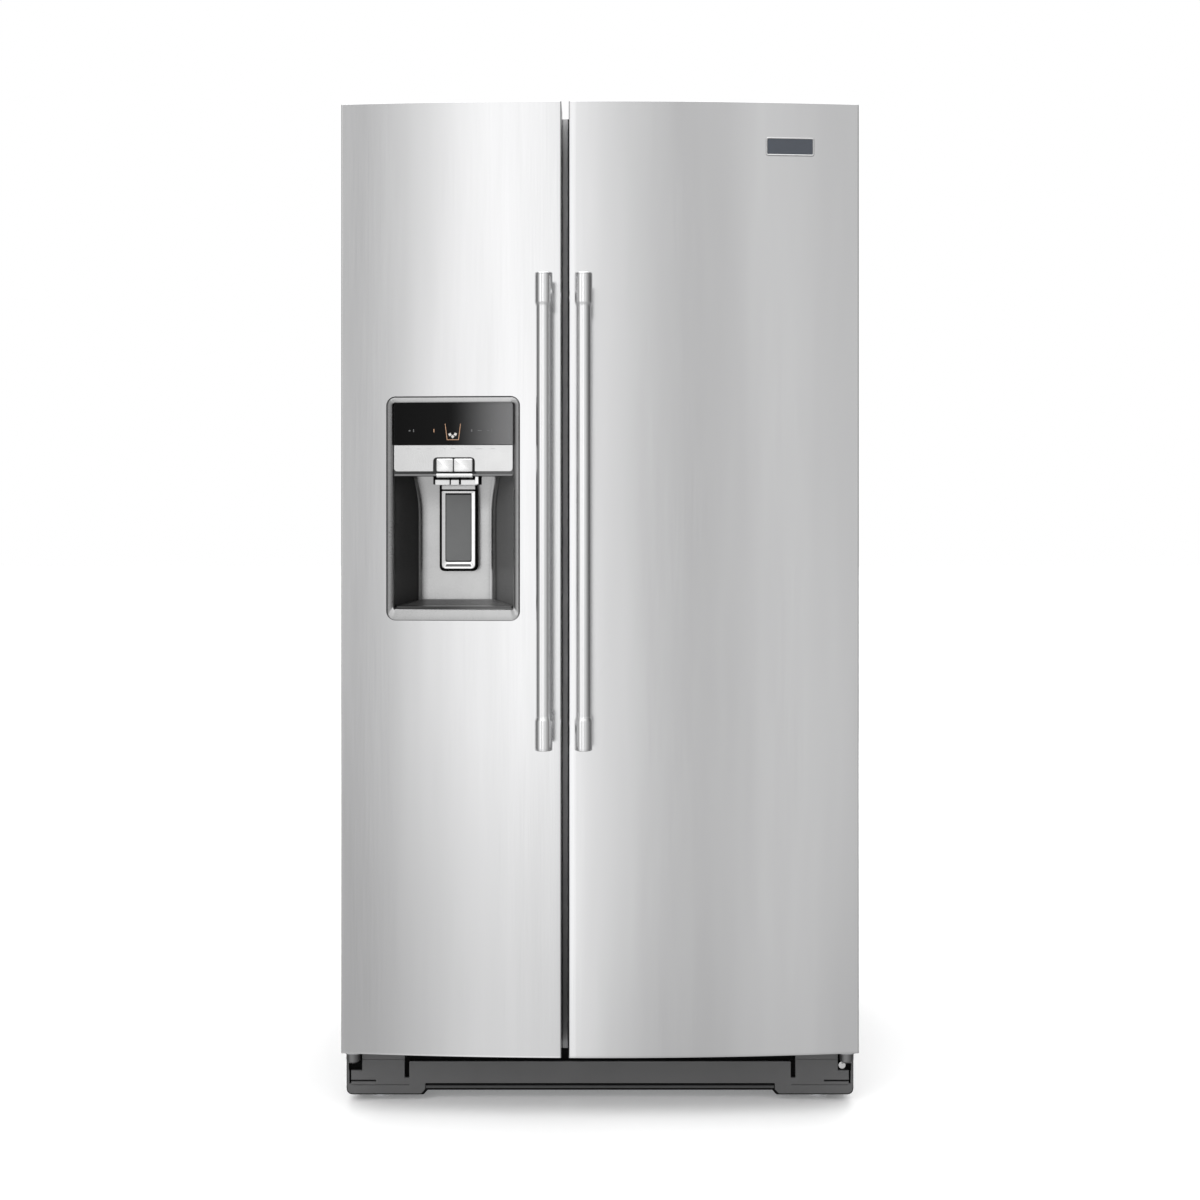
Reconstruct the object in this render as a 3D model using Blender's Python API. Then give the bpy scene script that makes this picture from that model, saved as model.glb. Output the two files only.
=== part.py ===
"""Side by side refrigerator with an ice and water dispenser: every separate piece as its own closed solid.

Units are metres. +X is to the right of a person facing the doors, +Y runs from the doors to the back, and
+Z is up.
The origin is on the floor, in the middle of the overall width and depth.
"""

import math

import bmesh
import bpy
from mathutils import Matrix

# ---------------------------------------------------------------- driving dimensions
WIDTH = 0.908  # across both doors
DEPTH = 0.885  # handles to rear cover
DOOR_TOP = 1.769
DOOR_BOTTOM = 0.105
HEIGHT = 1.776  # top of the hinge covers
BULGE = 0.025  # how far the door fronts bow out at the middle of the appliance
DOOR_EDGE_DEPTH = 0.055  # thickness of a door at its hinge edge
DOOR_SPLIT_X = -0.0608  # middle of the gap between the two doors
DOOR_GAP = 0.013
DOOR_EDGE_R = 0.004
GASKET_GAP = 0.012  # from the back of a door to the face of the cabinet
SKIN = 0.0012
CLEAR = 0.0004  # assembly gap between pieces that touch
CASE_WIDTH = 0.905
CASE_TOP = 1.760
CASE_BOTTOM = 0.030
CASE_SHEET = 0.002
LINER_SHEET = 0.0025
SIDE_WALL = 0.045
TOP_WALL = 0.060
BACK_WALL = 0.060
MULLION = 0.062  # wall between freezer and fresh food compartments
CAVITY_FLOOR = 0.165
FOAM_BOTTOM = 0.100
HUMP_Y = 0.170  # the machine compartment raises the floor behind this
HUMP_TOP = 0.360
MACHINE_WALL = 0.045
FLANGE_BOTTOM = 0.1030  # lower edge of the compartment linings at the cabinet face
LINER_LIP = 0.0047  # how far the linings turn over the wall between the compartments
DOOR_SWING_PIN_IN = 0.022  # hinge pin from the side of the door
DOOR_SWING_PIN_BACK = 0.030  # hinge pin behind the edge of the door front

# ---------------------------------------------------------------- derived planes
HALF = WIDTH / 2
FACE_RADIUS = (HALF**2 + BULGE**2) / (2 * BULGE)
HANDLE_TUBE_R = 0.0125
HANDLE_CAP_R = 0.015
HANDLE_REACH = 0.058  # from the most forward part of the doors to the axis of the handles
HANDLE_Y = -DEPTH / 2 + HANDLE_CAP_R
EDGE_Y = HANDLE_Y + HANDLE_REACH + BULGE  # front of the doors at their outer edges
DOOR_BACK_Y = EDGE_Y + DOOR_EDGE_DEPTH
CASE_Y = DOOR_BACK_Y + GASKET_GAP
REAR_COVER_DEPTH = 0.012
CASE_BACK_Y = DEPTH / 2 - REAR_COVER_DEPTH
CAVITY_BACK_Y = CASE_BACK_Y - BACK_WALL
CAVITY_TOP = CASE_TOP - TOP_WALL
PIN_Y = EDGE_Y + DOOR_SWING_PIN_BACK
PIN_X = HALF - DOOR_SWING_PIN_IN
CAVITY_SIDE_X = CASE_WIDTH / 2 - SIDE_WALL
FREEZER_X = (-CAVITY_SIDE_X, DOOR_SPLIT_X - MULLION / 2)
FRIDGE_X = (DOOR_SPLIT_X + MULLION / 2, CAVITY_SIDE_X)
FREEZER_DOOR_X = (-HALF, DOOR_SPLIT_X - DOOR_GAP / 2)
FRIDGE_DOOR_X = (DOOR_SPLIT_X + DOOR_GAP / 2, HALF)

# dispenser
DISPENSER_X = -0.255
DISPENSER_HALF = 0.116
DISPENSER_Z = (0.8646, 1.2564)
WINDOW_HALF = 0.1045
WINDOW_Z = (0.8864, 1.2462)
RECESS_TOP = 1.118
RECESS_BACK_HALF = 0.064
RECESS_BACK_Y = EDGE_Y + 0.073
PANEL_BOTTOM = 1.1716
BUTTON_X = (-0.2885, -0.2191)
BUTTON_Z = (1.1256, 1.1508)
KEY_RAIL_Z = (1.1152, 1.1246)  # fixed lip under the two keys
NOZZLE_Z = 1.1012
LEVER_X = DISPENSER_X + 0.003
LEVER_HALF = 0.034
LEVER_Z = (0.9430, 1.0976)

# drawers, shelves and door bins
DRAWER_FRONT_Y = -0.115
SHELF_FRONT_Y = -0.165
BIN_DEPTH = 0.110  # from the back of the door
RIB_DEPTH = 0.055
PAD_DEPTH = 0.015
RIB_WIDTH = 0.022
RIB_INSET = 0.0127

COLOURS = {
    "stainless": ((0.62, 0.62, 0.62), 0.30, 1.0),
    "handle_steel": ((0.66, 0.66, 0.66), 0.25, 1.0),
    "case_paint": ((0.23, 0.23, 0.24), 0.55, 0.0),
    "bare_steel": ((0.55, 0.56, 0.57), 0.45, 1.0),
    "copper": ((0.72, 0.38, 0.22), 0.35, 1.0),
    "white_plastic": ((0.85, 0.86, 0.87), 0.35, 0.0),
    "clear_plastic": ((0.80, 0.85, 0.88), 0.10, 0.0),
    "shelf_glass": ((0.75, 0.83, 0.82), 0.05, 0.0),
    "gasket_rubber": ((0.16, 0.16, 0.17), 0.70, 0.0),
    "dark_plastic": ((0.09, 0.09, 0.09), 0.55, 0.0),
    "silver_plastic": ((0.60, 0.60, 0.60), 0.35, 0.6),
    "black_glass": ((0.02, 0.02, 0.02), 0.08, 0.0),
    "black_paint": ((0.03, 0.03, 0.03), 0.45, 0.0),
    "foam": ((0.80, 0.72, 0.45), 0.90, 0.0),
}


# ---------------------------------------------------------------- modelling helpers
def clear_scene():
    for obj in list(bpy.data.objects):
        bpy.data.objects.remove(obj)


def material(name):
    found = bpy.data.materials.get(name)
    if found:
        return found
    colour, roughness, metallic = COLOURS[name]
    made = bpy.data.materials.new(name)
    made.use_nodes = True
    shader = made.node_tree.nodes["Principled BSDF"]
    shader.inputs["Base Color"].default_value = (*colour, 1.0)
    shader.inputs["Roughness"].default_value = roughness
    shader.inputs["Metallic"].default_value = metallic
    return made


def finish_mesh(name, bm, finish=None, smooth_angle=None):
    """Turns a bmesh into an object. Without a finish it is a helper for a Boolean, which isn't rendered."""
    bmesh.ops.recalc_face_normals(bm, faces=bm.faces)
    mesh = bpy.data.meshes.new(name)
    bm.to_mesh(mesh)
    bm.free()
    obj = bpy.data.objects.new(name, mesh)
    bpy.context.scene.collection.objects.link(obj)
    if finish:
        mesh.materials.append(material(finish))
    else:
        obj.hide_render = True
        obj.display_type = "WIRE"
    if smooth_angle:
        mesh.shade_smooth()
        mesh.set_sharp_from_angle(angle=math.radians(smooth_angle))
    return obj


def prism(name, outline, axis, low, high, finish=None, smooth_angle=None):
    """A closed outline swept along an axis. The outline is (y, z) for X, (x, z) for Y and (x, y) for Z."""
    place = {
        "X": lambda u, v, w: (w, u, v),
        "Y": lambda u, v, w: (u, w, v),
        "Z": lambda u, v, w: (u, v, w),
    }[axis]
    bm = bmesh.new()
    ends = [[bm.verts.new(place(u, v, w)) for u, v in outline] for w in (low, high)]
    for ring in ends:
        bm.faces.new(ring)
    count = len(outline)
    for i in range(count):
        j = (i + 1) % count
        bm.faces.new((ends[0][i], ends[0][j], ends[1][j], ends[1][i]))
    return finish_mesh(name, bm, finish, smooth_angle)


def box(name, low, high, finish=None):
    outline = [(low[0], low[1]), (high[0], low[1]), (high[0], high[1]), (low[0], high[1])]
    return prism(name, outline, "Z", low[2], high[2], finish)


def circle(radius, count, centre=(0.0, 0.0)):
    turns = [2 * math.pi * i / count for i in range(count)]
    return [(centre[0] + radius * math.cos(t), centre[1] + radius * math.sin(t)) for t in turns]


def rod(name, centre, axis, low, high, radius, count=20, finish=None):
    """A round bar along an axis. Its centre is given in the other two coordinates."""
    return prism(name, circle(radius, count, centre), axis, low, high, finish, 40)


def turned(name, profile, count, finish=None, location=(0, 0, 0), rotation=(0, 0, 0)):
    """A solid of revolution about Z. The profile is (radius, height), from the axis round to the axis."""
    bm = bmesh.new()
    points = [bm.verts.new((r, 0, z)) for r, z in profile]
    edges = [bm.edges.new(pair) for pair in zip(points, points[1:])]
    bmesh.ops.spin(
        bm, geom=points + edges, cent=(0, 0, 0), axis=(0, 0, 1), angle=2 * math.pi, steps=count, use_duplicate=False
    )
    bmesh.ops.remove_doubles(bm, verts=bm.verts, dist=1e-6)
    turn = Matrix.Rotation(rotation[2], 4, "Z") @ Matrix.Rotation(rotation[1], 4, "Y")
    turn = turn @ Matrix.Rotation(rotation[0], 4, "X")
    bm.transform(Matrix.Translation(location) @ turn)
    return finish_mesh(name, bm, finish, 40)


def boolean(obj, other, operation):
    modifier = obj.modifiers.new(f"{operation.lower()}_{other.name}", "BOOLEAN")
    modifier.operation = operation
    modifier.object = other
    modifier.solver = "EXACT"
    return obj


def cut(obj, *cutters):
    for cutter in cutters:
        boolean(obj, cutter, "DIFFERENCE")
    return obj


def join(obj, *others):
    for other in others:
        boolean(obj, other, "UNION")
    return obj


def tray(name, top, bottom, height, wall, finish, floor=None):
    """An open box. top and bottom are ((x0, y0), (x1, y1)) outside sizes, height is (low, high)."""
    floor = floor or wall
    z0, z1 = height

    def ring(bm, spread, z, inset):
        (x0, y0), (x1, y1) = spread
        corners = (
            (x0 + inset, y0 + inset), (x1 - inset, y0 + inset), (x1 - inset, y1 - inset),
            (x0 + inset, y1 - inset)
        )
        return [bm.verts.new((x, y, z)) for x, y in corners]

    bm = bmesh.new()
    outer_low, outer_high = ring(bm, bottom, z0, 0), ring(bm, top, z1, 0)
    inner_low, inner_high = ring(bm, bottom, z0 + floor, wall), ring(bm, top, z1, wall)
    bm.faces.new(outer_low)
    bm.faces.new(inner_low)
    for a, b in ((outer_low, outer_high), (outer_high, inner_high), (inner_high, inner_low)):
        for i in range(4):
            j = (i + 1) % 4
            bm.faces.new((a[i], a[j], b[j], b[i]))
    return finish_mesh(name, bm, finish)


def tube_run(name, points, radius, finish):
    """A bent pipe through a list of points."""
    curve = bpy.data.curves.new(name, "CURVE")
    curve.dimensions = "3D"
    curve.bevel_depth = radius
    curve.bevel_resolution = 1
    curve.use_fill_caps = True
    spline = curve.splines.new("POLY")
    spline.points.add(len(points) - 1)
    for point, where in zip(spline.points, points):
        point.co = (*where, 1.0)
    obj = bpy.data.objects.new(name, curve)
    bpy.context.scene.collection.objects.link(obj)
    curve.materials.append(material(finish))
    return obj


def serpentine(x_range, z_low, pitch, passes, y, bend_steps=4):
    """Points of a pipe that runs to and fro along X and climbs along Z, with half round bends."""
    radius = pitch / 2
    points = []
    for i in range(passes):
        z = z_low + i * pitch
        ends = (x_range[0] + radius, x_range[1] - radius)
        start, stop = ends if i % 2 == 0 else ends[::-1]
        points.append((start, y, z))
        points.append((stop, y, z))
        if i == passes - 1:
            break
        side = 1 if stop > start else -1
        for step in range(1, bend_steps):
            turn = math.pi * step / bend_steps - math.pi / 2
            points.append(
                (stop + side * radius * math.cos(turn), y, z + radius + radius * math.sin(turn))
            )
    return points


# ---------------------------------------------------------------- shapes that follow the bowed door fronts
def face_y(x):
    return EDGE_Y + FACE_RADIUS - BULGE - math.sqrt(FACE_RADIUS**2 - x * x)


def door_outline(x_range, inset=0.0, steps=18, corner_steps=3):
    """Plan view of a door: bowed front, rounded front edges, straight sides back to the door's rear plane."""
    x0, x1 = x_range[0] + inset, x_range[1] - inset
    r = DOOR_EDGE_R - inset
    points = [(x0, DOOR_BACK_Y)]
    for x_side, sign, start in ((x0, 1, math.pi), (x1, -1, 1.5 * math.pi)):
        cx = x_side + sign * r
        cy = face_y(cx) + inset + r
        arc = [start + i * math.pi / 2 / corner_steps for i in range(corner_steps + 1)]
        corner = [(cx + r * math.cos(t), cy + r * math.sin(t)) for t in arc]
        if sign > 0:
            points += corner
            span = (x1 - r) - cx
            middle = [cx + span * i / steps for i in range(1, steps)]
            points += [(x, face_y(x) + inset) for x in middle]
        else:
            points += corner
    points.append((x1, DOOR_BACK_Y))
    return points


def face_strip(name, x_range, z_range, proud, behind, finish=None, steps=8):
    """A strip that follows the bowed front, from proud in front of it to behind it."""
    xs = [x_range[0] + (x_range[1] - x_range[0]) * i / steps for i in range(steps + 1)]
    outline = [(x, face_y(x) - proud) for x in xs] + [(x, face_y(x) + behind) for x in reversed(xs)]
    return prism(name, outline, "Z", z_range[0], z_range[1], finish)


def rounded_rectangle(x_range, z_range, radius, corner_steps=5):
    centres = (
        (x_range[0] + radius, z_range[0] + radius, math.pi),
        (x_range[1] - radius, z_range[0] + radius, 1.5 * math.pi),
        (x_range[1] - radius, z_range[1] - radius, 0.0),
        (x_range[0] + radius, z_range[1] - radius, 0.5 * math.pi),
    )
    points = []
    for cx, cz, start in centres:
        arc = [start + i * math.pi / 2 / corner_steps for i in range(corner_steps + 1)]
        points += [(cx + radius * math.cos(t), cz + radius * math.sin(t)) for t in arc]
    return points


def face_plate(name, x_range, z_range, radius, proud, behind, finish=None):
    """A plate with rounded corners that follows the bowed front."""
    margin = 0.002
    wide = (x_range[0] - margin, x_range[1] + margin)
    tall = (z_range[0] - margin, z_range[1] + margin)
    plate = face_strip(name, wide, tall, proud, behind, finish)
    shape = prism(
        f"{name}_outline", rounded_rectangle(x_range, z_range, radius), "Y", EDGE_Y - 0.1, EDGE_Y + 0.2
    )
    return boolean(plate, shape, "INTERSECT")


# ---------------------------------------------------------------- cabinet
def outer_case():
    half = CASE_WIDTH / 2
    case = box("outer_case", (-half, CASE_Y, CASE_BOTTOM), (half, CASE_BACK_Y, CASE_TOP), "case_paint")
    inside = box(
        "case_inside",
        (-half + CASE_SHEET, CASE_Y + CASE_SHEET, CASE_BOTTOM - 0.1),
        (half - CASE_SHEET, CASE_BACK_Y + 0.1, CASE_TOP - CASE_SHEET),
    )
    cut(case, inside)
    edges = (
        -half + 0.024, FREEZER_X[1] + LINER_LIP + 0.0004, FRIDGE_X[0] - LINER_LIP - 0.0004, half - 0.024
    )
    for i in (0, 2):
        low = (edges[i], CASE_Y - 0.1, FLANGE_BOTTOM - 0.0005)
        cut(case, box(f"case_opening_{i}", low, (edges[i + 1], CASE_Y + 0.1, CASE_TOP - 0.030)))
    return case


def cavity_outline(grow, front):
    """Side view of a compartment, as (y, z), with the raised floor over the machine compartment."""
    floor, back, top = CAVITY_FLOOR - grow, CAVITY_BACK_Y + grow, CAVITY_TOP + grow
    return [
        (front, floor),
        (HUMP_Y + grow, floor),
        (HUMP_Y + grow, HUMP_TOP - grow),
        (back, HUMP_TOP - grow),
        (back, top),
        (front, top),
    ]


def foam_insulation():
    half = CASE_WIDTH / 2 - CASE_SHEET - CLEAR
    low = (-half, CASE_Y + CASE_SHEET + CLEAR, FOAM_BOTTOM)
    high = (half, CASE_BACK_Y - 0.0028, CASE_TOP - CASE_SHEET - CLEAR)
    foam = box("foam_insulation", low, high, "foam")
    grow = LINER_SHEET + CLEAR
    for name, x_range in (("freezer", FREEZER_X), ("fridge", FRIDGE_X)):
        outline = cavity_outline(grow, CASE_Y - 0.05)
        cut(foam, prism(f"foam_pocket_{name}", outline, "X", x_range[0] - grow, x_range[1] + grow))
    machine = box(
        "foam_machine_bay",
        (-half - 0.1, HUMP_Y + MACHINE_WALL, FOAM_BOTTOM - 0.1),
        (half + 0.1, CASE_BACK_Y + 0.1, HUMP_TOP - MACHINE_WALL),
    )
    return cut(foam, machine)


def liner(name, x_range, flange_x, shelves_z, ledges_z):
    """A thin compartment lining with a front flange. Ledges on both side walls carry shelves and drawers."""
    flange = box(
        name, (flange_x[0], CASE_Y + 0.0002, FLANGE_BOTTOM),
        (flange_x[1], CASE_Y + CASE_SHEET, CASE_TOP - 0.0305), "white_plastic"
    )
    shell = prism(
        f"{name}_shell", cavity_outline(
            LINER_SHEET, CASE_Y + 0.0002
        ), "X", x_range[0] - LINER_SHEET, x_range[1] + LINER_SHEET
    )
    cavity = prism(f"{name}_cavity", cavity_outline(0.0, CASE_Y - 0.05), "X", x_range[0], x_range[1])
    join(flange, shell)
    cut(flange, cavity)
    for i, (z, y0, y1) in enumerate(shelves_z + ledges_z):
        for side, x in enumerate(x_range):
            inward = 1 if side == 0 else -1
            xs = sorted((x - inward * 0.001, x + inward * 0.009))
            join(flange, box(f"{name}_ledge_{i}_{side}", (xs[0], y0, z - 0.007), (xs[1], y1, z)))
    return flange


def shelf(name, x_range, z, back_y, finish):
    """A glass shelf in a frame with a deeper front trim."""
    x0, x1 = x_range[0] + 0.0015, x_range[1] - 0.0015
    outline = [
        (SHELF_FRONT_Y, z - 0.018),
        (SHELF_FRONT_Y + 0.012, z - 0.018),
        (SHELF_FRONT_Y + 0.016, z + CLEAR),
        (back_y, z + CLEAR),
        (back_y, z + 0.010),
        (SHELF_FRONT_Y, z + 0.010),
    ]
    return prism(name, outline, "X", x0, x1, finish)


def drawer(name, x_range, z_range, back_y, finish):
    """A drawer with a front panel that stands higher than its sides, and a finger slot under a pull lip."""
    x0, x1 = x_range
    z0, z1 = z_range
    body = tray(
        name,
        ((x0, DRAWER_FRONT_Y + 0.004), (x1, back_y)),
        ((x0 + 0.004, DRAWER_FRONT_Y + 0.004), (x1 - 0.004, back_y - 0.010)),
        (z0, z1 - 0.012),
        0.003,
        finish,
    )
    front = box(f"{name}_front", (x0, DRAWER_FRONT_Y, z0), (x1, DRAWER_FRONT_Y + 0.006, z1))
    lip = prism(
        f"{name}_lip",
        [
            (DRAWER_FRONT_Y - 0.014, z1 - 0.020),
            (DRAWER_FRONT_Y - 0.014, z1 - 0.006),
            (DRAWER_FRONT_Y - 0.008, z1),
            (DRAWER_FRONT_Y + 0.003, z1),
            (DRAWER_FRONT_Y + 0.003, z1 - 0.006),
            (DRAWER_FRONT_Y - 0.010, z1 - 0.009),
            (DRAWER_FRONT_Y - 0.010, z1 - 0.020),
        ],
        "X",
        x0,
        x1,
    )
    return join(body, front, lip)


def back_panel():
    half = CASE_WIDTH / 2 - CASE_SHEET - CLEAR
    low = (-half, CASE_BACK_Y - 0.0024, HUMP_TOP - MACHINE_WALL + 0.002)
    panel = box(
        "back_panel", low, (half, CASE_BACK_Y - 0.0004, CASE_TOP - CASE_SHEET - CLEAR), "bare_steel"
    )
    return panel


def machine_cover():
    """The rear cover of the machine compartment: a shallow pan with two banks of air slots."""
    low, high = (-0.435, CASE_BACK_Y + 0.0004, 0.036), (0.435, DEPTH / 2, 0.330)
    cover = box("machine_cover", low, high, "bare_steel")
    inside = box(
        "machine_cover_inside", (low[0] + 0.002, low[1] - 0.05, low[2] + 0.002),
        (high[0] - 0.002, high[1] - 0.002, high[2] - 0.002)
    )
    cut(cover, inside)
    for bank_x in (-0.24, 0.24):
        for row in range(6):
            z = 0.09 + row * 0.034
            slot = box(
                f"cover_slot_{bank_x}_{row}", (bank_x - 0.13, high[1] - 0.02, z),
                (bank_x + 0.13, high[1] + 0.02, z + 0.008)
            )
            cut(cover, slot)
    return cover


# ---------------------------------------------------------------- base
FRAME_X = CASE_WIDTH / 2 - CASE_SHEET - CLEAR
FRAME_SHEET = 0.003
FRAME_FRONT = CASE_Y + CASE_SHEET + CLEAR
FRAME_BACK = CASE_BACK_Y - 0.004
FRAME_BOTTOM = 0.020
FRAME_PLATE_Z = (0.055, 0.058)
ROLLER_R = 0.022
ROLLER_X = (0.388, 0.412)
AXLE_R = 0.004
FRONT_ROLLER = (-0.185, 0.0235)  # y and z of the axle: the feet carry the front, so these clear the floor
REAR_ROLLER = (0.385, ROLLER_R)
FOOT_XY = (0.395, -0.245)
FAN_X = 0.045
FAN_YZ = (0.325, 0.165)


def base_frame():
    """Pressed tray that carries the machine parts, with the roller axles and the fan bracket."""
    y0, y1 = FRAME_FRONT, FRAME_BACK
    plate = box(
        "base_frame", (-FRAME_X, y0, FRAME_PLATE_Z[0]), (FRAME_X, y1, FRAME_PLATE_Z[1]), "bare_steel"
    )
    rail = box(
        "frame_rail", (-FRAME_X, y0, FRAME_BOTTOM + 0.012),
        (FRAME_X, y0 + FRAME_SHEET, FOAM_BOTTOM - CLEAR)
    )
    join(plate, rail)
    bay_y, bay_top = HUMP_Y + MACHINE_WALL + CLEAR, HUMP_TOP - MACHINE_WALL - CLEAR
    end_plate = [
        (
            y0, FRAME_BOTTOM + 0.012
        ), (y0 + 0.030, FRAME_BOTTOM), (y1, FRAME_BOTTOM), (y1, bay_top), (bay_y, bay_top),
        (bay_y, FOAM_BOTTOM - CLEAR), (y0, FOAM_BOTTOM - CLEAR),
    ]
    for side in (-1, 1):
        xs = sorted((side * FRAME_X, side * (FRAME_X - FRAME_SHEET)))
        join(plate, prism(f"frame_end_{side}", end_plate, "X", xs[0], xs[1]))
        inner = ROLLER_X[0] - 0.008
        for label, (y, z) in (("front", FRONT_ROLLER), ("rear", REAR_ROLLER)):
            xs = sorted((side * inner, side * (inner + FRAME_SHEET)))
            join(
                plate,
                box(
                    f"roller_bracket_{label}_{side}", (xs[0], y - 0.014, z - 0.009),
                    (xs[1], y + 0.014, 0.056)
                )
            )
            xs = sorted((side * (FRAME_X - 0.001), side * (inner + 0.001)))
            join(plate, rod(f"axle_{label}_{side}", (y, z), "X", xs[0], xs[1], AXLE_R, 12))
        cut(plate, rod(f"foot_hole_{side}", (side * FOOT_XY[0], FOOT_XY[1]), "Z", 0.04, 0.07, 0.0056, 16))
    post = box(
        "fan_post", (FAN_X + 0.034, FAN_YZ[0] - 0.012, 0.056),
        (FAN_X + 0.037, FAN_YZ[0] + 0.012, FAN_YZ[1] + 0.012)
    )
    motor = rod("fan_motor", FAN_YZ, "X", FAN_X + 0.0165, FAN_X + 0.0345, 0.020, 16)
    shaft = rod("fan_shaft", FAN_YZ, "X", FAN_X - 0.004, FAN_X + 0.017, 0.003, 12)
    return join(plate, post, motor, shaft)


def roller(name, side, y, z):
    """A wheel on a fixed axle."""
    xs = sorted((side * ROLLER_X[0], side * ROLLER_X[1]))
    wheel = rod(name, (y, z), "X", xs[0], xs[1], ROLLER_R, 32, "dark_plastic")
    return cut(wheel, rod(f"{name}_bore", (y, z), "X", xs[0] - 0.01, xs[1] + 0.01, AXLE_R + 0.0003, 16))


def leveling_foot(name, side):
    """A threaded stem with a wide pad that stands on the floor and a hexagon for the spanner."""
    x, y = side * FOOT_XY[0], FOOT_XY[1]
    pad = [
        (0, 0), (0.017, 0), (0.019, 0.002), (0.019, 0.007), (0.008, 0.010), (0.005, 0.010),
        (0.005, 0.085), (0, 0.085)
    ]
    foot = turned(name, pad, 24, "bare_steel", (x, y, 0))
    nut = rod(f"{name}_nut", (x, y), "Z", 0.012, 0.022, 0.0095, 6)
    return join(foot, nut)


def base_grille():
    """Front kick plate: a long low panel with taller corner blocks that reach down to the floor."""
    front, back = CASE_Y - 0.0124, CASE_Y - CLEAR
    end, block, slot, foot_top, foot_end = 0.4515, 0.3490, 0.3410, 0.0126, 0.3068
    grille = prism(
        "base_grille",
        [
            (-end, 0.008), (-end + 0.005, 0.003), (-foot_end - 0.0072, 0.003), (-foot_end, foot_top),
            (foot_end, foot_top), (foot_end + 0.0072, 0.003), (end - 0.005, 0.003), (end, 0.008),
            (end, 0.094), (block, 0.094), (block, 0.034), (slot, 0.034), (slot, 0.0645),
            (-slot, 0.0645), (-slot, 0.034), (-block, 0.034), (-block, 0.094), (-end, 0.094),
        ],
        "Y", front, back, "dark_plastic",
    )
    for side in (-1, 1):
        xs = sorted((side * (end + 0.01), side * (PIN_X - 0.0045)))
        cut(
            grille,
            box(f"grille_hinge_notch_{side}", (xs[0], front - 0.01, 0.0600), (xs[1], back + 0.01, 0.10))
        )
        xs = sorted((side * (end - 0.007), side * 0.4245))
        cut(
            grille,
            box(f"grille_window_{side}", (xs[0], front - 0.01, 0.0470), (xs[1], front + 0.008, 0.0570))
        )
        xs = sorted((side * (end - 0.006), side * 0.4010))
        cut(
            grille,
            box(f"grille_slit_{side}", (xs[0], front - 0.01, 0.0272), (xs[1], front + 0.004, 0.0296))
        )
    lip = box(
        "grille_lip", (-foot_end - 0.004, front - 0.0012, foot_top),
        (foot_end + 0.004, front + 0.002, 0.0215)
    )
    return join(grille, lip)


# ---------------------------------------------------------------- hinges
HINGE_PIN_R = 0.005
HINGE_HOLE_R = 0.0054
TOP_PLATE_Z = (1.7698, 1.7726)


def top_hinge(name, side):
    """Cranked plate screwed to the cabinet top, with the upper pivot pin riveted in its nose."""
    x0, x1 = sorted((side * (PIN_X - 0.034), side * (PIN_X + 0.012)))
    profile = [
        (PIN_Y - 0.011, TOP_PLATE_Z[0]), (CASE_Y + 0.006, TOP_PLATE_Z[0]), (
            CASE_Y + 0.009, CASE_TOP + CLEAR
        ),
        (CASE_Y + 0.085, CASE_TOP + CLEAR), (
            CASE_Y + 0.085, CASE_TOP + 0.0034
        ), (CASE_Y + 0.012, CASE_TOP + 0.0034),
        (CASE_Y + 0.009, TOP_PLATE_Z[1]), (PIN_Y - 0.011, TOP_PLATE_Z[1]),
    ]
    plate = prism(name, profile, "X", x0, x1, "bare_steel")
    pin = rod(
        f"{name}_pin", (side * PIN_X, PIN_Y), "Z", DOOR_TOP - 0.022, TOP_PLATE_Z[1] - 0.001, HINGE_PIN_R,
        20
    )
    screw_z = CASE_TOP + 0.0030
    for i, y in enumerate((0.035, 0.065)):
        x = side * (PIN_X - 0.011)
        join(plate, rod(f"{name}_screw_{i}", (x, CASE_Y + y), "Z", screw_z, screw_z + 0.004, 0.006, 6))
    return join(plate, pin)


def hinge_cover(name, side):
    """Moulded cap over the top hinge, low enough to stay behind the doors."""
    x0, x1 = sorted((side * (PIN_X - 0.050), side * (CASE_WIDTH / 2 - 0.001)))
    front, back = EDGE_Y + 0.050, CASE_Y + 0.105
    cover = prism(
        name,
        [
            (front, 1.7704), (front + 0.001, 1.7752), (front + 0.005, HEIGHT), (back - 0.016, HEIGHT),
            (back, CASE_TOP + 0.006), (back, CASE_TOP + CLEAR), (CASE_Y + 0.001, CASE_TOP + CLEAR),
            (CASE_Y + 0.001, 1.7704),
        ],
        "X", x0, x1, "dark_plastic",
    )
    room_x = sorted((side * (PIN_X - 0.036), side * (PIN_X + 0.014)))
    room = prism(
        f"{name}_room",
        [
            (front - 0.02, 1.7650), (front - 0.02, TOP_PLATE_Z[1] + 0.0006), (
                CASE_Y + 0.012, TOP_PLATE_Z[1] + 0.0006
            ),
            (
                CASE_Y + 0.020, CASE_TOP + 0.0080
            ), (CASE_Y + 0.088, CASE_TOP + 0.0080), (CASE_Y + 0.088, CASE_TOP - 0.01),
            (CASE_Y + 0.003, CASE_TOP - 0.01), (CASE_Y + 0.003, 1.7650),
        ],
        "X", room_x[0], room_x[1],
    )
    return cut(cover, room)


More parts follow.
